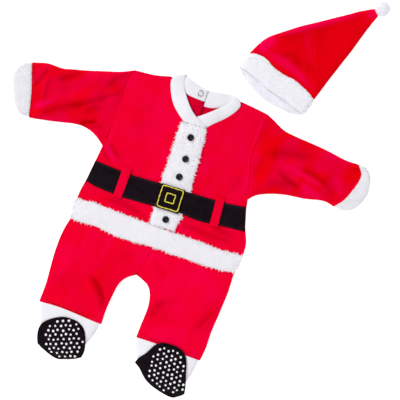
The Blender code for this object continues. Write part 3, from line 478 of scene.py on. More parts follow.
def velour_material(name, settings, deep, bright):
    made, tree, shader = new_material(name, 0.88, 0.22, (1.0, 0.0, 0.14), 0.10,
                                      specular_tint=(1.0, 0.01, 0.10))
    patches = object_noise(tree, 13.0, 3.0, 0.55, (1.0, 0.55, 1.0), 0.4)
    nap = object_noise(tree, 60.0, 3.0, 0.6, (1.0, 0.3, 1.0), 0.15)
    pile = object_noise(tree, 1500.0, 2.0, 0.6)
    both = add_node(tree, "ShaderNodeMix", data_type="FLOAT", Factor=0.35, A=patches, B=nap)
    coloured = blend_colours(tree, both, deep, bright, 0.38, 0.58)
    # Base colour: patches of pure red in the cloth's tone, then painted shade down in folds and on darker
    # pieces, then bands of painted sheen
    for label, colour in (("pure", settings.hat), ("fold", settings.fold), ("brushed", settings.brushed)):
        coloured = add_node(tree, "ShaderNodeMix", data_type="RGBA", Factor=attribute(tree, label),
                            A=coloured, B=(*colour, 1))
    set_inputs(tree, shader, Base_Color=speckle(tree, coloured, pile, 0.10))
    add_bump(tree, shader, (nap, 0.30, 0.0009), (pile, 0.45, 0.0004))
    return made


def plush_material(name, settings, brighter):
    made, tree, shader = new_material(name, 0.95, 0.15, (0.95, 0.95, 1.0), 0.05)
    inner = attribute(tree, "inner")
    # Painted glow from the pile itself, less of it on the brim's inner band
    light = settings.glow + brighter
    glow = add_node(tree, "ShaderNodeMapRange", Value=inner, To_Min=light, To_Max=0.65 * light)
    clumps = object_noise(tree, 150.0, 3.0, 0.6)
    fibres = object_noise(tree, 1300.0, 2.0, 0.7)
    ramp = blend_colours(tree, clumps, shade_of(settings.colour, 0.95), settings.colour, 0.35, 0.6)
    # Painted shade darkens the brim's inner band a little
    shaded = darken(tree, ramp, inner, 1.0, 0.97)
    set_inputs(tree, shader, Base_Color=speckle(tree, shaded, fibres, 0.03), Emission_Strength=glow,
               Emission_Color=(0.98, 0.97, 1.0, 1), Subsurface_Weight=0.7,
               Subsurface_Radius=(1.0, 1.0, 1.0), Subsurface_Scale=0.004)
    add_bump(tree, shader, (clumps, 0.15, 0.0010), (fibres, 0.3, 0.0003))
    return made


def jersey_material(name, settings):
    made, tree, shader = new_material(name, 0.9, 0.15, (0.95, 0.95, 1.0), 0.08)
    soft = object_noise(tree, 42.0)
    knit = object_weave(tree, 0.0011, 0.35)
    fluff = object_noise(tree, 1100.0, 2.0, 0.6)
    low, high = (shade_of(settings.colour, share) for share in (0.93, 0.98))
    ramp = blend_colours(tree, soft, low, high, 0.3, 0.62)
    set_inputs(tree, shader, Base_Color=speckle(tree, ramp, fluff, 0.05))
    add_bump(tree, shader, (soft, 0.2, 0.0010), (knit, 0.25, 0.0002), (fluff, 0.35, 0.0003))
    return made


def black_material(name, settings, pitch, turn):
    made, tree, shader = new_material(name, 0.82, 0.03, (0.8, 0.6, 0.8), 0.06)
    wear = object_noise(tree, 90.0, 3.0, 0.6)
    weave = object_weave(tree, pitch, turn)
    lint = object_noise(tree, 1400.0, 2.0, 0.65)
    dark, other_tone = (shade_of(settings.black, share) for share in (0.7, 1.5))
    ramp = blend_colours(tree, wear, dark, other_tone, 0.35, 0.7)
    set_inputs(tree, shader, Base_Color=speckle(tree, ramp, weave, 0.35))
    add_bump(tree, shader, (weave, 0.5, 0.0003), (lint, 0.3, 0.0003))
    return made


def thread_material(name, colour):
    made, tree, shader = new_material(name, 0.55, 0.2, specular=0.4)
    strands = object_noise(tree, 2600.0, 2.0, 0.5, (1.0, 1.0, 0.4), 0.7)
    tint = object_noise(tree, 160.0)
    ramp = blend_colours(tree, tint, shade_of(colour, 0.82), colour)
    set_inputs(tree, shader, Base_Color=speckle(tree, ramp, strands, 0.18))
    add_bump(tree, shader, (strands, 0.4, 0.0002))
    return made


def plastic_material(name, colour, roughness, specular):
    made, tree, shader = new_material(name, roughness, specular=specular)
    cloud = object_noise(tree, 400.0)
    scratch = object_noise(tree, 900.0, 3.0, 0.6, (1.0, 6.0, 1.0), 0.5)
    rough = add_node(tree, "ShaderNodeMapRange", Value=scratch, To_Min=0.8 * roughness,
                     To_Max=1.25 * roughness)
    ramp = blend_colours(tree, cloud, shade_of(colour, 0.85), colour)
    set_inputs(tree, shader, Base_Color=ramp, Roughness=rough)
    add_bump(tree, shader, (scratch, 0.08, 0.0001))
    return made


def steel_material(name):
    made, tree, shader = new_material(name, 0.32, specular=0.5, metallic=1.0)
    turned = object_noise(tree, 700.0, 2.0, 0.5, (1.0, 4.0, 1.0))
    ramp = blend_colours(tree, turned, (0.42, 0.42, 0.44), (0.66, 0.66, 0.68), 0.3, 0.7)
    set_inputs(tree, shader, Base_Color=ramp)
    add_bump(tree, shader, (turned, 0.1, 0.0001))
    return made


def floor_material(name, settings):
    made, tree, shader = new_material(name, 0.9, specular=0.1)
    grain = object_noise(tree, 30.0)
    ramp = blend_colours(tree, grain, shade_of(settings.floor, 0.995), settings.floor)
    set_inputs(tree, shader, Base_Color=ramp, Emission_Color=(1, 1, 1, 1), Emission_Strength=settings.glow)
    return made


def get_material(name, make, *arguments):
    return bpy.data.materials.get(name) or make(name, *arguments)


# Cloth from the solids

def new_object(name, data):
    made = bpy.data.objects.new(name, data)
    bpy.context.scene.collection.objects.link(made)
    return made


def to_mesh(work, name):
    """The edited mesh under a name, as plain data."""
    mesh = bpy.data.meshes.new(name)
    work.to_mesh(mesh)
    work.free()
    return mesh


def cloth_cage(node):
    """A copy of a solid's mesh: welded, in quads, with creased rims and a rim attribute."""
    work = bmesh.new()
    work.from_mesh(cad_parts[node].data)
    bmesh.ops.remove_doubles(work, verts=work.verts, dist=WELD)
    bmesh.ops.join_triangles(work, faces=work.faces, angle_face_threshold=math.pi,
                             angle_shape_threshold=math.pi)
    sharp = work.edges.layers.float.get("crease_edge") or work.edges.layers.float.new("crease_edge")
    corner = work.verts.layers.float.get("crease_vert") or work.verts.layers.float.new("crease_vert")
    rim = work.verts.layers.float.new("rim")
    for edge in work.edges:
        if edge.calc_face_angle(0.0) > RIM_ANGLE:
            edge[sharp] = 1.0
            for v in edge.verts:
                v[rim] = 1.0
    for v in work.verts:
        along_rim = [
            e for e in v.link_edges
            if e[sharp] and abs(e.verts[0].co.z - e.verts[1].co.z) < UPRIGHT * e.calc_length()]
        if len(along_rim) == 2:
            a = along_rim[0].other_vert(v).co - v.co
            b = along_rim[1].other_vert(v).co - v.co
            if a.length and b.length and math.pi - a.angle(b) > CORNER_ANGLE:
                v[corner] = 1.0
    return to_mesh(work, node + "_cage")


def fine_copy(node, name, levels, material, rim_crease=1.0):
    """A solid's cage smoothed by Subdivision Surface, as a plain mesh on a new object."""
    mesh = cloth_cage(node)
    for item in mesh.attributes["crease_edge"].data:
        item.value *= rim_crease
    made = new_object(name, mesh)
    smooth = made.modifiers.new("Smooth", "SUBSURF")
    smooth.levels = smooth.render_levels = levels
    smooth.boundary_smooth = "PRESERVE_CORNERS"
    plain = bpy.data.meshes.new_from_object(made.evaluated_get(bpy.context.evaluated_depsgraph_get()))
    made.modifiers.clear()
    made.data = plain
    bpy.data.meshes.remove(mesh)
    plain.name = name
    plain.shade_smooth()
    plain.materials.clear()
    plain.materials.append(material)
    return made


def read_points(mesh):
    """The points in millimetres, their normals, and how much of a rim each one is, from 0 to 1."""
    points = np.zeros(len(mesh.vertices) * 3)
    mesh.vertices.foreach_get("co", points)
    normals = np.zeros(len(mesh.vertices) * 3)
    mesh.vertices.foreach_get("normal", normals)
    rim = np.zeros(len(mesh.vertices))
    if "rim" in mesh.attributes:
        mesh.attributes["rim"].data.foreach_get("value", rim)
    return points.reshape(-1, 3) / MM, normals.reshape(-1, 3), rim


def write_points(mesh, points):
    mesh.vertices.foreach_set("co", (points * MM).ravel())
    mesh.update()


def soft_step(t):
    t = np.clip(t, 0, 1)
    return t * t * (3 - 2 * t)


def crease_frame(crease, x, y):
    """How strong a crease is at each point along it, and how many of its widths away it lies."""
    run_x, run_y = crease.to_x - crease.from_x, crease.to_y - crease.from_y
    length = math.hypot(run_x, run_y)
    along = ((x - crease.from_x) * run_x + (y - crease.from_y) * run_y) / length
    aside = ((x - crease.from_x) * run_y - (y - crease.from_y) * run_x) / length
    part = np.clip(along / length, 0, 1)
    arch = np.sin(np.pi * part)
    width = crease.width * (0.8 + 0.25 * arch + 0.1 * np.sin(7 * part))
    beyond = np.maximum(0, np.maximum(-along, along - length))
    strength = soft_step(part * 3.2 + 0.25) * soft_step((1 - part) * 2.6 + 0.15)
    strength *= np.exp(-((beyond / (1.4 * crease.width)) ** 2))
    return strength, np.abs(aside - crease.bow * arch) / width


def crease_shape(creases, x, y):
    """Height of the creases at the points, and how much painted shade each point gets down in a fold, from 0
    to 1.
    """
    rise = np.zeros(len(x))
    fold = np.zeros(len(x))
    for crease in creases:
        strength, off = crease_frame(crease, x, y)
        if crease.height > 0:
            rise += crease.height * strength * np.exp(-off ** 2)
        else:
            cut = np.exp(CUSP - np.sqrt(off ** 2 + CUSP ** 2)) - SHOULDER * np.exp(-((off - 3.0) / 1.2) ** 2)
            rise += crease.height * strength * cut
            fold -= DARKENING * crease.height / crease.width * strength * np.exp(-((off / 1.5) ** 2))
    return rise, np.clip(fold, 0, 1)


def refine_creases(piece):
    """Cuts the upper faces along narrow creases once more, so that they keep their shape."""
    points, normals, rim = read_points(piece.data)
    x, y, z = points.T
    near = np.zeros(len(x), dtype=bool)
    for crease in CREASES:
        if crease.width < NARROW:
            strength, off = crease_frame(crease, x, y)
            near |= (strength > 0.05) & (off < 2.4)
    near &= (normals[:, 2] > 0.1) & (z > TUBE_REST[0])
    work = bmesh.new()
    work.from_mesh(piece.data)
    edges = [e for e in work.edges if near[e.verts[0].index] and near[e.verts[1].index]]
    bmesh.ops.subdivide_edges(work, edges=edges, cuts=1, use_grid_fill=True)
    work.to_mesh(piece.data)
    work.free()


def armhole_distance(x, y):
    """Distance in millimetres from each point to the nearest armhole seam."""
    nearest = np.full(len(x), 1000.0)
    for seam in ARMHOLES:
        for (ax, ay), (bx, by) in zip(seam, seam[1:]):
            run_x, run_y = bx - ax, by - ay
            part = np.clip(((x - ax) * run_x + (y - ay) * run_y) / (run_x ** 2 + run_y ** 2), 0, 1)
            nearest = np.minimum(nearest, np.hypot(x - ax - part * run_x, y - ay - part * run_y))
    return nearest


def store(mesh, name, values):
    """Keeps one value a point on a mesh, for its material and for the trees that grow on it."""
    kept = mesh.attributes.get(name) or mesh.attributes.new(name, "FLOAT", "POINT")
    kept.data.foreach_set("value", np.asarray(values, dtype=np.float32))


def ripple_height(x, y, scale, seed):
    """Soft unevenness between about -1 and 1, from a few waves that never line up."""
    rise = np.zeros(len(x))
    for k in range(6):
        a = 2.399 * (k + 1) + seed
        length = scale * (0.7 + 0.27 * k)
        phase = 1.7 * k * k + 3.1 * seed
        bend = 0.9 * np.sin((x * math.sin(a) - y * math.cos(a)) / (1.9 * length) + phase)
        rise += np.sin((x * math.cos(a) + y * math.sin(a)) / length * 2.2 + phase + bend) / 3.2
    return rise


def lay_velour(piece, node, settings, seed):
    """Creases, ripples, puckers at the seams and rolled edges on the upper layer of a piece."""
    refine_creases(piece)
    points, normals, rim = read_points(piece.data)
    x, y, z = points.T
    rest, ramp = TUBE_REST if node in TUBES else FRONT_REST
    loose = soft_step((z - rest) / ramp)
    crease, fold = crease_shape(CREASES, x, y)
    rise = settings.crease * crease * (1 - 0.6 * rim)
    rise += settings.ripple / MM * ripple_height(x, y, 30.0, seed)
    rise += 0.30 * settings.ripple / MM * ripple_height(x, y, 9.0, seed + 5)
    pucker = soft_step((rim - 0.1) / 0.6) * soft_step((1.0 - rim) / 0.2)
    rise += 0.3 * pucker * ripple_height(x, y, 5.0, seed + 9)
    facing = soft_step((normals[:, 2] - 0.05) / 0.4)
    seam = armhole_distance(x, y)
    if node in JOINED:
        meeting = ARMHOLE_HEIGHT + settings.crease * crease - z
        if node == "front_body":
            meeting += SEAM_LAP
        rise += (meeting - rise) * facing * (1 - soft_step(seam / ARMHOLE_REACH))
    roll = soft_step((rim - 0.70) / 0.30) * soft_step(seam / ARMHOLE_REACH)
    lowest = np.minimum(z, np.where(normals[:, 2] > 0, 2.2, 1.9))
    under = soft_step((-normals[:, 2] - 0.3) / 0.4) * soft_step((1.0 - z) / 0.6) * (1 - rim)
    points[:, 2] = np.maximum(z + loose * rise - facing * loose * settings.roll / MM * roll, lowest)
    points[:, 2] += under * crease_shape(UNDER_CREASES, x, y)[0]
    level = np.hypot(normals[:, 0], normals[:, 1])
    out = np.where(level > 0.3, RIM_REACH * soft_step((rim - 0.70) / 0.30) / np.maximum(level, 0.3), 0.0)
    points[:, 0] += out * normals[:, 0]
    points[:, 1] += out * normals[:, 1]
    if node in JOINED:
        points[:, 2] = np.where(seam < ARMHOLE_BAND, np.minimum(points[:, 2], meeting + z), points[:, 2])
    write_points(piece.data, points)
    # Painted shade deepens the red on whole pieces and down in the folds, pinker bands are painted sheen,
    # and the patches of pure red are the cloth's own tone
    kind = PIECE_SHADE_AND_TONE.get(node, PLAIN_SHADE_AND_TONE)
    patches = PLAIN_SHADE_AND_TONE.patches + (kind.patches - PLAIN_SHADE_AND_TONE.patches) * soft_step(seam / ARMHOLE_REACH)
    patches = patches * soft_step(0.5 + 0.8 * ripple_height(x, y, 15.0, 13))
    nap = kind.deepened * soft_step(seam / kind.reach) * (1 + 0.6 * ripple_height(x, y, 10.0, 17))
    store(piece.data, "fold", nap + (1 - nap) * fold * loose)
    store(piece.data, "pure", patches)
    store(piece.data, "brushed", np.clip(crease_shape(PAINTED_SHEEN_BANDS, x, y)[0], 0, 1) * loose * facing)
    flatten_seam(piece.data, (rim > 0.99) & (seam < FLAT_SEAM))


def flatten_seam(mesh, chosen):
    """Marks the edges between the chosen points sharp, so that the cloth's shading runs on over a seam."""
    ends = np.zeros(len(mesh.edges) * 2, dtype=np.int32)
    mesh.edges.foreach_get("vertices", ends)
    ends = ends.reshape(-1, 2)
    sharp = chosen[ends[:, 0]] & chosen[ends[:, 1]]
    kept = mesh.attributes.get("sharp_edge") or mesh.attributes.new("sharp_edge", "BOOLEAN", "EDGE")
    kept.data.foreach_set("value", sharp)


def lay_plush(piece, node, settings, seed):
    """Lumps all over the plush, apart from its flat underside, and marks for where it is bare."""
    points, normals, rim = read_points(piece.data)
    x, y, z = points.T
    # The brim's inner band, marked for painted shade: a little darker and with less painted glow
    inner = np.zeros(len(x))
    if node == "hat_brim":
        inner = soft_step((normals[:, 2] - 0.1) / 0.3) * soft_step((7.5 - z) / 1.5)
    bare = np.zeros(len(x))
    if node == "placket_trim":
        low, high = PLACKET_UNDER_BELT
        bare[(y > low) & (y < high)] = 1.0
    lump = ripple_height(x, y, 4.2, seed) + 0.6 * ripple_height(x + z, y - z, 2.0, seed + 3)
    lump = settings.lump / MM * lump + 0.6 * settings.lump / MM * ripple_height(x, y, 16.0, seed + 7)
    shown = soft_step((normals[:, 2] + 0.6) / 0.5) * soft_step(z / 0.8) * (1 - bare)
    points += (lump * shown)[:, None] * normals
    points[:, 2] = np.maximum(points[:, 2], 0.0)
    write_points(piece.data, points)
    store(piece.data, "inner", inner)
    store(piece.data, "bare", bare)


def lay_soft(piece, height, scale, seed, puff=0.0):
    """A gentle unevenness in millimetres on the upper side, and a rounder middle where it has puff."""
    points, normals, rim = read_points(piece.data)
    x, y, z = points.T
    shown = soft_step((normals[:, 2] - 0.1) / 0.4) * soft_step(z / 1.2)
    points[:, 2] += shown * (height * ripple_height(x, y, scale, seed) + puff * soft_step(1 - rim))
    write_points(piece.data, points)


def place_piece(piece, slot, *nodes):
    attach(piece, "root")
    if nodes:
        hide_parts(*nodes)
    return piece


# Geometry Nodes

def node_group(name, inputs):
    """A geometry tree with a geometry, the named inputs and a material, and its two end nodes."""
    tree = bpy.data.node_groups.new(name, "GeometryNodeTree")
    sockets = tree.interface
    sockets.new_socket("Geometry", in_out="INPUT", socket_type="NodeSocketGeometry")
    for label, default in inputs.items():
        kind = "NodeSocketInt" if isinstance(default, int) else "NodeSocketFloat"
        sockets.new_socket(label, in_out="INPUT", socket_type=kind).default_value = default
    sockets.new_socket("Material", in_out="INPUT", socket_type="NodeSocketMaterial")
    sockets.new_socket("Geometry", in_out="OUTPUT", socket_type="NodeSocketGeometry")
    return tree, tree.nodes.new("NodeGroupInput").outputs, tree.nodes.new("NodeGroupOutput")


def place_copies(tree, given, end, points, shape, rotation, *sizes):
    """Copies of a shape on the points, made real and given their material, as every tree ends."""
    scale = add_node(tree, "ShaderNodeCombineXYZ", *sizes)
    copies = add_node(tree, "GeometryNodeInstanceOnPoints", Points=points, Instance=shape,
                      Rotation=rotation, Scale=scale)
    real = add_node(tree, "GeometryNodeRealizeInstances", Geometry=copies)
    smooth = add_node(tree, "GeometryNodeSetShadeSmooth", Geometry=real)
    painted = add_node(tree, "GeometryNodeSetMaterial", Geometry=smooth, Material=given["Material"])
    set_inputs(tree, end, Geometry=painted)
    return tree


def uneven(tree, given, size, low, high):
    """One of the tree's sizes, times a share between low and high that differs from copy to copy."""
    share = add_node(tree, "FunctionNodeRandomValue", data_type="FLOAT", Min=low, Max=high,
                     Seed=given["Seed"])
    return add_node(tree, "ShaderNodeMath", share, given[size], operation="MULTIPLY")


def compare(tree, value, operation, limit):
    return add_node(tree, "FunctionNodeCompare", data_type="FLOAT", operation=operation, A=value, B=limit)


def named_value(tree, name, kind="FLOAT"):
    return add_node(tree, "GeometryNodeInputNamedAttribute", data_type=kind, Name=name)


def pile_tree(name):
    """Tufts of pile all over a surface, or on its rims alone, leaning every way."""
    tree, given, end = node_group(name, {
        "Density": 900000.0, "Length": 0.002, "Tuft Width": 0.0004, "Lean": 0.7, "Rim From": -1.0,
        "Rise": 1.0, "Seed": 7})
    normal = add_node(tree, "GeometryNodeInputNormal")
    height = add_node(tree, "ShaderNodeSeparateXYZ", Vector=normal).outputs["Z"]
    upper = compare(tree, height, "GREATER_THAN", -0.25)
    outer = compare(tree, named_value(tree, "rim"), "GREATER_EQUAL", given["Rim From"])
    covered = compare(tree, named_value(tree, "bare"), "LESS_THAN", 0.5)
    grown = add_node(tree, "FunctionNodeBooleanMath", upper, covered, operation="AND")
    chosen = add_node(tree, "FunctionNodeBooleanMath", grown, outer, operation="AND")
    scatter = add_node(tree, "GeometryNodeDistributePointsOnFaces", distribute_method="RANDOM",
                       Mesh=given["Geometry"], Selection=chosen, Density=given["Density"],
                       Seed=given["Seed"])
    tuft = add_node(tree, "GeometryNodeMeshCone", Vertices=3, Side_Segments=1, Fill_Segments=1,
                    Depth=1.0, Radius_Bottom=1.0, Radius_Top=0.12)
    lean = add_node(tree, "FunctionNodeRandomValue", data_type="FLOAT_VECTOR", Min=(-1, -1, -0.5),
                    Max=(1, 1, 0.5), Seed=given["Seed"])
    leaning = add_node(tree, "ShaderNodeVectorMath", lean, operation="SCALE", Scale=given["Lean"])
    level = add_node(tree, "ShaderNodeCombineXYZ", 1.0, 1.0, given["Rise"])
    flattened = add_node(tree, "ShaderNodeVectorMath", scatter.outputs["Normal"], level,
                         operation="MULTIPLY")
    direction = add_node(tree, "ShaderNodeVectorMath", flattened, leaning, operation="ADD")
    turn = add_node(tree, "FunctionNodeAlignRotationToVector", axis="Z", Vector=direction)
    return place_copies(tree, given, end, scatter, tuft, turn, given["Tuft Width"],
                        given["Tuft Width"], uneven(tree, given, "Length", 0.5, 1.25))


def stitch_tree(name):
    """Stitches along a line of edges, each a small turned lozenge of thread."""
    tree, given, end = node_group(name, {
        "Stitch Length": 0.002, "Spacing": 0.0012, "Thread": 0.0005, "Slant": 0.5, "Seed": 3})
    line = add_node(tree, "GeometryNodeMeshToCurve", Mesh=given["Geometry"])
    points = add_node(tree, "GeometryNodeCurveToPoints", mode="LENGTH", Curve=line,
                      Length=given["Spacing"])
    bead = add_node(tree, "GeometryNodeMeshIcoSphere", Radius=1.0, Subdivisions=2)
    turn = add_node(tree, "FunctionNodeAlignRotationToVector", axis="X",
                    Vector=points.outputs["Tangent"])
    angle = add_node(tree, "ShaderNodeCombineXYZ", Z=uneven(tree, given, "Slant", 0.8, 1.2))
    skew = add_node(tree, "FunctionNodeRotateRotation", rotation_space="LOCAL", Rotation=turn,
                    Rotate_By=angle)
    half = add_node(tree, "ShaderNodeMath", given["Stitch Length"], 0.5, operation="MULTIPLY")
    return place_copies(tree, given, end, points, bead, skew, half, given["Thread"], given["Thread"])


def dot_tree(name):
    """A flattened bead on each point of a mesh, lying along the point's normal."""
    tree, given, end = node_group(name, {"Radius": 0.0019, "Height": 0.0007, "Seed": 11})
    points = add_node(tree, "GeometryNodeMeshToPoints", mode="VERTICES", Mesh=given["Geometry"])
    turn = add_node(tree, "FunctionNodeAlignRotationToVector", axis="Z",
                    Vector=named_value(tree, "facing", "FLOAT_VECTOR"))
    bead = add_node(tree, "GeometryNodeMeshUVSphere", Segments=16, Rings=8, Radius=1.0)
    wide = uneven(tree, given, "Radius", 0.86, 1.1)
    return place_copies(tree, given, end, points, bead, turn, wide, wide, given["Height"])


TREES = {"Plush Pile": pile_tree, "Stitches": stitch_tree, "Grip Dots": dot_tree}


def run_tree(name, source, kind, values):
    """The result of one of the trees on a source mesh, as a plain mesh on a new object."""
    tree = bpy.data.node_groups.get(kind) or TREES[kind](kind)
    carrier = new_object(name, source)
    modifier = carrier.modifiers.new("Tree", "NODES")
    modifier.node_group = tree
    for item in tree.interface.items_tree:
        if item.item_type == "SOCKET" and item.in_out == "INPUT" and item.name in values:
            modifier[item.identifier] = values[item.name]
    carrier.update_tag()
    result = bpy.data.meshes.new_from_object(carrier.evaluated_get(bpy.context.evaluated_depsgraph_get()))
    bpy.data.objects.remove(carrier)
    result.name = name
    return new_object(name, result)


def add_pile(piece, node, settings, seed):
    """Short pile all over a plush piece, and the longer tufts that fringe the rims of some."""
    fringed = node in FRINGED
    kinds = {"pile": {
        "Density": settings.density, "Length": settings.pile if fringed else 0.7 * settings.pile,
        "Tuft Width": settings.tuft, "Lean": 0.75, "Rim From": -1.0, "Rise": 1.0}}
    if fringed:
        kinds["fringe"] = {
            "Density": settings.fringe_density, "Length": settings.fringe,
            "Tuft Width": settings.clump, "Lean": 0.45, "Rim From": 0.8, "Rise": 0.15}
    made = []
    for kind, values in kinds.items():
        values.update({"Seed": seed, "Material": piece.data.materials[0]})
        tufts = run_tree(f"{piece.name}_{kind}", piece.data.copy(), "Plush Pile", values)
        points = read_points(tufts.data)[0]
        points[:, 2] = np.maximum(points[:, 2], PILE_FLOOR)
        write_points(tufts.data, points)
        made.append(place_piece(tufts, "plush"))
    return made


def surface_of(*pieces):
    """A tree for finding the height of the given pieces at a point."""
    points, faces = [], []
    for piece in pieces:
        offset = len(points)
        points += [v.co.copy() for v in piece.data.vertices]
        faces += [[offset + i for i in face.vertices] for face in piece.data.polygons]
    return BVHTree.FromPolygons(points, faces)


def look_down(surface, x, y):
    """Where a line straight down meets a surface, and the surface's normal there."""
    return surface.ray_cast(Vector((x, y, FROM_ABOVE)), Vector((0, 0, -1)))[:2]


def drop_line(name, flat_points, surface, raise_by, closed=False):
    """A line of edges laid on a surface, through (x, y) points in millimetres."""
    places = [look_down(surface, x * MM, y * MM)[0] for x, y in flat_points]
    points = [place + Vector((0, 0, raise_by)) for place in places if place is not None]
    edges = [(k, k + 1) for k in range(len(points) - 1)]
    if closed:
        edges.append((len(points) - 1, 0))
    mesh = bpy.data.meshes.new(name)
    mesh.from_pydata(points, edges, [])
    return mesh


def edge_line(piece, side, inset):
    """Points along a piece's upper or lower edge, drawn in from it by an inset in millimetres."""
    points = read_points(piece.data)[0]
    line = []
    for x in np.arange(points[:, 0].min() + 5, points[:, 0].max() - 5, 4):
        near = points[np.abs(points[:, 0] - x) < 2.5, 1]
        edge = near.max() if side > 0 else near.min()
        line.append((float(x), float(edge - side * inset)))
    return line


def sew(name, piece, side, inset, thread, material, seed):
    """A row of stitches along a piece's edge."""
    line = drop_line(name, edge_line(piece, side, inset), surface_of(piece), 0.0)
    values = {"Stitch Length": 0.0022, "Spacing": 0.0030, "Thread": thread, "Slant": 0.0,
              "Seed": seed, "Material": material}
    return run_tree(name, line, "Stitches", values)


# The pieces

class SANTA_OT_velour(bpy.types.Operator):
    """Make the red velour panels, sleeves, trousers and belt loops"""

    bl_idname = "santa_suit.velour"
    bl_label = "Velour"

    def execute(self, context):
        settings = context.scene.santa_velour
        red, inside, hat = (
            get_material(name, velour_material, settings, deep, bright)
            for name, deep, bright in (
                ("red_velour", settings.deep, settings.bright),
                ("velour_inside", shade_of(settings.inside, 0.9), settings.inside),
                ("hat_velour", shade_of(settings.hat, 0.9), settings.hat)))
        thread = get_material("red_thread", thread_material, (0.66, 0.0, 0.02))
        for seed, cut in enumerate(VELOUR):
            cloth = hat if cut.node == "hat_crown" else red
            piece = fine_copy(cut.node, cut.node + "_velour", cut.levels, cloth)
            lay_velour(piece, cut.node, settings, seed)
            place_piece(piece, "velour", cut.node)
            # The back panels' upper faces show in the neck: inner red with its painted shade
            if cut.node.startswith("back"):
                piece.data.materials.append(inside)
                for face in piece.data.polygons:
                    face.material_index = 1 if face.normal.z > 0.5 else 0
            if cut.node.startswith("trouser_front"):
                row = sew(cut.node + "_hem_sewing", piece, -1, HEM_SEWING_INSET, 0.00028, thread, seed)
                place_piece(row, "velour")
        return {"FINISHED"}


class SANTA_OT_plush(bpy.types.Operator):
    """Make the plush cuffs, placket, hem trim and hat brim with their pile"""

    bl_idname = "santa_suit.plush"
    bl_label = "Plush"

    def execute(self, context):
        settings = context.scene.santa_plush
        white = get_material("white_plush", plush_material, settings, 0.0)
        # The cuffs' plush gets less painted glow, as painted shade
        other_tone = get_material("cuff_pile", plush_material, settings, -settings.cuff_shade)
        for seed, cut in enumerate(PLUSH):
            cloth = other_tone if cut.node.startswith("cuff") else white
            piece = fine_copy(cut.node, cut.node + "_plush", cut.levels, cloth, 0.35)
            lay_plush(piece, cut.node, settings, seed)
            place_piece(piece, "plush", cut.node)
            add_pile(piece, cut.node, settings, 31 + seed)
        return {"FINISHED"}


class SANTA_OT_pompom(bpy.types.Operator):
    """Make the hat's pompom, a ball of yarn ends"""

    bl_idname = "santa_suit.pompom"
    bl_label = "Pompom"

    def execute(self, context):
        settings = context.scene.santa_plush
        low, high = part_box("hat_pompom")
        work = bmesh.new()
        bmesh.ops.create_icosphere(work, subdivisions=4, radius=POMPOM_CORE * (high.z - low.z) / 2)
        bmesh.ops.translate(work, verts=work.verts, vec=(low + high) / 2)
        mesh = to_mesh(work, "hat_pompom_yarn")
        mesh.shade_smooth()
        yarn = get_material("white_yarn", plush_material, settings, settings.yarn_glow)
        mesh.materials.append(yarn)
        place_piece(new_object("hat_pompom_yarn", mesh), "plush", "hat_pompom")
        values = {"Density": 2.2 * settings.density, "Length": 1.2 * settings.pile,
                  "Tuft Width": settings.tuft, "Lean": 0.35, "Seed": 77, "Material": yarn}
        place_piece(run_tree("hat_pompom_yarn_ends", mesh.copy(), "Plush Pile", values), "plush")
        return {"FINISHED"}


class SANTA_OT_jersey(bpy.types.Operator):
    """Make the white neckband and ankles"""

    bl_idname = "santa_suit.jersey"
    bl_label = "Neckband and Ankles"

    def execute(self, context):
        white = get_material("white_jersey", jersey_material, context.scene.santa_plush)
        for seed, cut in enumerate(JERSEY):
            piece = fine_copy(cut.node, cut.node + "_jersey", cut.levels, white, 0.6)
            lay_soft(piece, 0.35, 11.0, 3 + seed, 0.8)
            place_piece(piece, "fleece", cut.node)
        return {"FINISHED"}


class SANTA_OT_belt(bpy.types.Operator):
    """Make the belt with its sewing, the embroidered buckle patch, and the shoe uppers"""

    bl_idname = "santa_suit.belt"
    bl_label = "Belt, Buckle and Shoe Uppers"

    def execute(self, context):
        settings = context.scene.santa_belt
        black = get_material("belt_canvas", black_material, settings, 0.0009, 0.05)
        thread = get_material("black_thread", thread_material, (0.03, 0.022, 0.03))
        for seed, cut in enumerate(BLACK):
            piece = fine_copy(cut.node, cut.node + "_cloth", cut.levels, black)
            lay_soft(piece, 0.3, 14.0, 20 + seed)
            place_piece(piece, "black_cloth", cut.node)
            for side in (-1, 1) if cut.node == "belt" else ():
                name = f"belt_sewing_{side + 2}"
                row = sew(name, piece, side, BELT_SEWING_INSET, 0.0003, thread, 60 + side)
                place_piece(row, "black_cloth")
        self.add_patch(settings)
        return {"FINISHED"}

    def add_patch(self, settings):
        twill = get_material("patch_twill", black_material, settings, 0.0007, 0.8)
        cut = Cut("buckle_patch", 2, 0.0394, 0.0394)
        patch = fine_copy(cut.node, "buckle_patch_twill", cut.levels, twill)
        place_piece(patch, "patch_cloth", cut.node)
        surface = surface_of(patch)
        yellow = get_material("yellow_thread", thread_material, settings.yellow)
        for name, reach in (("outer", BUCKLE_OUTER), ("inner", BUCKLE_INNER)):
            for row in range(2):
                outline = rounded_square(reach + (row - 0.5) * BUCKLE_ROW_STEP, BUCKLE_WAVE, row)
                line = drop_line("line", outline, surface, 0.0002, True)
                values = {"Stitch Length": 0.0019, "Spacing": 0.00100, "Thread": settings.thread,
                          "Slant": 0.45 - 0.9 * row, "Seed": 5 + row, "Material": yellow}
                cord = run_tree(f"buckle_{name}_embroidery_{row + 1}", line, "Stitches", values)
                place_piece(cord, "patch_cloth")


def rounded_square(half, wave, seed):
    """Points round a square with small round corners and a slightly wavy line."""
    points = []
    for k in range(BUCKLE_POINTS):
        a = math.tau * k / BUCKLE_POINTS
        c, s = math.cos(a), math.sin(a)
        reach = half / (abs(c) ** SQUARENESS + abs(s) ** SQUARENESS) ** (1 / SQUARENESS)
        reach += wave * math.sin(9 * a + seed) * math.sin(4 * a + 1.3 * half)
        points.append((reach * c, reach * s + BUCKLE_OFFSET))
    return points


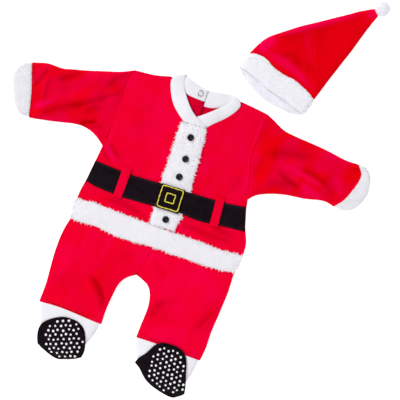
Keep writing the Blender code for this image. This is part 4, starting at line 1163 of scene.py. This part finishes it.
class SANTA_OT_snaps(bpy.types.Operator):
    """Make the snap caps on the placket and the ring in the neckband"""

    bl_idname = "santa_suit.snaps"
    bl_label = "Snaps"

    def execute(self, context):
        unit = context.scene.santa_small.snap_radius / SNAP_PROFILE_RADIUS
        plastic = get_material("snap_cap_black", plastic_material, (0.006, 0.005, 0.008), 0.26, 0.25)
        for k in range(1, 5):
            piece = self.turned(f"snap_cap_{k}", unit, *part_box(f"snap_{k}"))
            piece.data.materials.append(plastic)
            place_piece(piece, "snap_plastic", f"snap_{k}")
        plated = get_material("snap_ring_plated", steel_material)
        ring = fine_copy("neck_snap_ring", "neck_snap_steel", 2, plated)
        place_piece(ring, "snap_steel", "neck_snap_ring")
        return {"FINISHED"}

    def turned(self, name, unit, low, high):
        """The snap's profile of (radius, height) turned round, standing where its solid does."""
        work = bmesh.new()
        verts = [work.verts.new((r * unit, 0, z * unit)) for r, z in SNAP_PROFILE]
        edges = [work.edges.new(pair) for pair in zip(verts, verts[1:])]
        bmesh.ops.spin(work, geom=verts + edges, cent=(0, 0, 0), axis=(0, 0, 1), angle=math.tau, steps=48)
        bmesh.ops.remove_doubles(work, verts=work.verts, dist=WELD)
        bmesh.ops.recalc_face_normals(work, faces=work.faces)
        place = ((low.x + high.x) / 2, (low.y + high.y) / 2, low.z)
        bmesh.ops.translate(work, verts=work.verts, vec=place)
        mesh = to_mesh(work, name)
        mesh.shade_smooth()
        return new_object(name, mesh)


class SANTA_OT_soles(bpy.types.Operator):
    """Make the shoe soles and their raised grip dots"""

    bl_idname = "santa_suit.soles"
    bl_label = "Soles"

    def execute(self, context):
        small = context.scene.santa_small
        black = get_material("sole_canvas", black_material, context.scene.santa_belt, 0.0008, 0.3)
        white = get_material("dot_rubber", plastic_material, (0.97, 0.97, 0.99), 0.6, 0.3)
        for seed, cut in enumerate(SOLES):
            piece = fine_copy(cut.node, cut.node + "_cloth", cut.levels, black, 0.5)
            lay_soft(piece, 0.5, 13.0, 40 + seed)
            place_piece(piece, "sole_cloth", cut.node)
            dots = place_piece(self.dots(piece, cut.node, small, white, seed), "sole_cloth")
        return {"FINISHED"}

    def dots(self, sole, node, small, material, seed):
        """Grip dots in staggered rows, uneven, up to the sole's edge."""
        low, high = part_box(node)
        centre = (low + high) / 2
        surface = surface_of(sole)
        turn = 0.35 + 0.25 * seed
        points, facing = [], []
        for row in range(-DOT_REACH, DOT_REACH + 1):
            for column in range(-DOT_REACH, DOT_REACH + 1):
                u = (column + 0.5 * (row % 2)) * small.dot_pitch
                v = row * small.dot_pitch * DOT_ROW_STEP
                u += DOT_STRAY * math.sin(3.1 * row + 1.7 * column + seed)
                v += DOT_STRAY * math.sin(2.3 * row - 2.9 * column + seed)
                x = centre.x + u * math.cos(turn) - v * math.sin(turn)
                y = centre.y + u * math.sin(turn) + v * math.cos(turn)
                room = ((DOT_ROOM, 0), (-DOT_ROOM, 0), (0, DOT_ROOM), (0, -DOT_ROOM))
                place, normal = look_down(surface, x, y)
                if place is None or None in [look_down(surface, x + a, y + b)[0] for a, b in room]:
                    continue
                points.append(place)
                facing.append(normal)
        mesh = bpy.data.meshes.new("dots")
        mesh.from_pydata(points, [], [])
        stored = mesh.attributes.new("facing", "FLOAT_VECTOR", "POINT")
        stored.data.foreach_set("vector", [c for n in facing for c in n])
        values = {"Radius": small.dot_radius, "Height": 0.0007, "Seed": 11 + seed, "Material": material}
        return run_tree(sole.name.replace("_cloth", "_dots"), mesh, "Grip Dots", values)


class SANTA_OT_stage(bpy.types.Operator):
    """Make the floor, the soft studio lights and the camera"""

    bl_idname = "santa_suit.stage"
    bl_label = "Stage"

    def execute(self, context):
        settings = context.scene.santa_stage
        scene = context.scene
        work = bmesh.new()
        bmesh.ops.create_grid(work, x_segments=8, y_segments=8, size=20.0)
        mesh = to_mesh(work, "studio_floor")
        for v in mesh.vertices:
            v.co.z = -0.0003
        mesh.materials.append(get_material("studio_floor", floor_material, settings))
        new_object("studio_floor", mesh)
        for name, (place, size, share) in LAMPS.items():
            light = bpy.data.lights.new(name, "AREA")
            light.shape = "DISK"
            light.size = size
            light.energy = settings.key * share
            lamp = new_object(name, light)
            lamp.location = place
            aim = Vector((*PHOTO_CENTRE, 0)) - Vector(place)
            lamp.rotation_euler = aim.to_track_quat("-Z", "Y").to_euler()
        scene.world = bpy.data.worlds.new("studio")
        scene.world.use_nodes = True
        tree = scene.world.node_tree
        set_inputs(tree, tree.nodes["Background"], Color=(1.0, 1.0, 1.0, 1), Strength=settings.fill)
        scene.view_settings.view_transform = "Standard"
        camera = bpy.data.cameras.new("camera")
        camera.lens = settings.lens
        camera.sensor_width = 36.0
        camera.clip_start = 0.01
        camera.clip_end = 50.0
        eye = new_object("camera", camera)
        eye.location = (*PHOTO_CENTRE, PHOTO_WIDTH * settings.lens / camera.sensor_width)
        eye.rotation_euler = (0, 0, PHOTO_TURN)
        scene.camera = eye
        return {"FINISHED"}


class SANTA_PT_panel(bpy.types.Panel):
    """Lists the suit's pieces in the sidebar"""

    bl_idname = "SANTA_PT_panel"
    bl_label = "Santa Suit"
    bl_space_type = "VIEW_3D"
    bl_region_type = "UI"
    bl_category = "Santa Suit"

    def draw(self, context):
        for name, group in SETTINGS.items():
            box = self.layout.box()
            settings = getattr(context.scene, name)
            for key in group.__annotations__:
                box.prop(settings, key)
        for operator in OPERATORS:
            self.layout.operator(operator.bl_idname)


OPERATORS = (SANTA_OT_stage, SANTA_OT_velour, SANTA_OT_plush, SANTA_OT_pompom, SANTA_OT_jersey,
             SANTA_OT_belt, SANTA_OT_snaps, SANTA_OT_soles)


CLASSES = (*SETTINGS.values(), *OPERATORS, SANTA_PT_panel)


def register():
    for kind in CLASSES:
        bpy.utils.register_class(kind)
    for name, group in SETTINGS.items():
        setattr(bpy.types.Scene, name, bpy.props.PointerProperty(type=group))


def unregister():
    for name in SETTINGS:
        delattr(bpy.types.Scene, name)
    for kind in reversed(CLASSES):
        bpy.utils.unregister_class(kind)


def main():
    register()
    for operator in OPERATORS:
        family, action = operator.bl_idname.split(".")
        getattr(getattr(bpy.ops, family), action)()


if __name__ == "__main__":
    main()
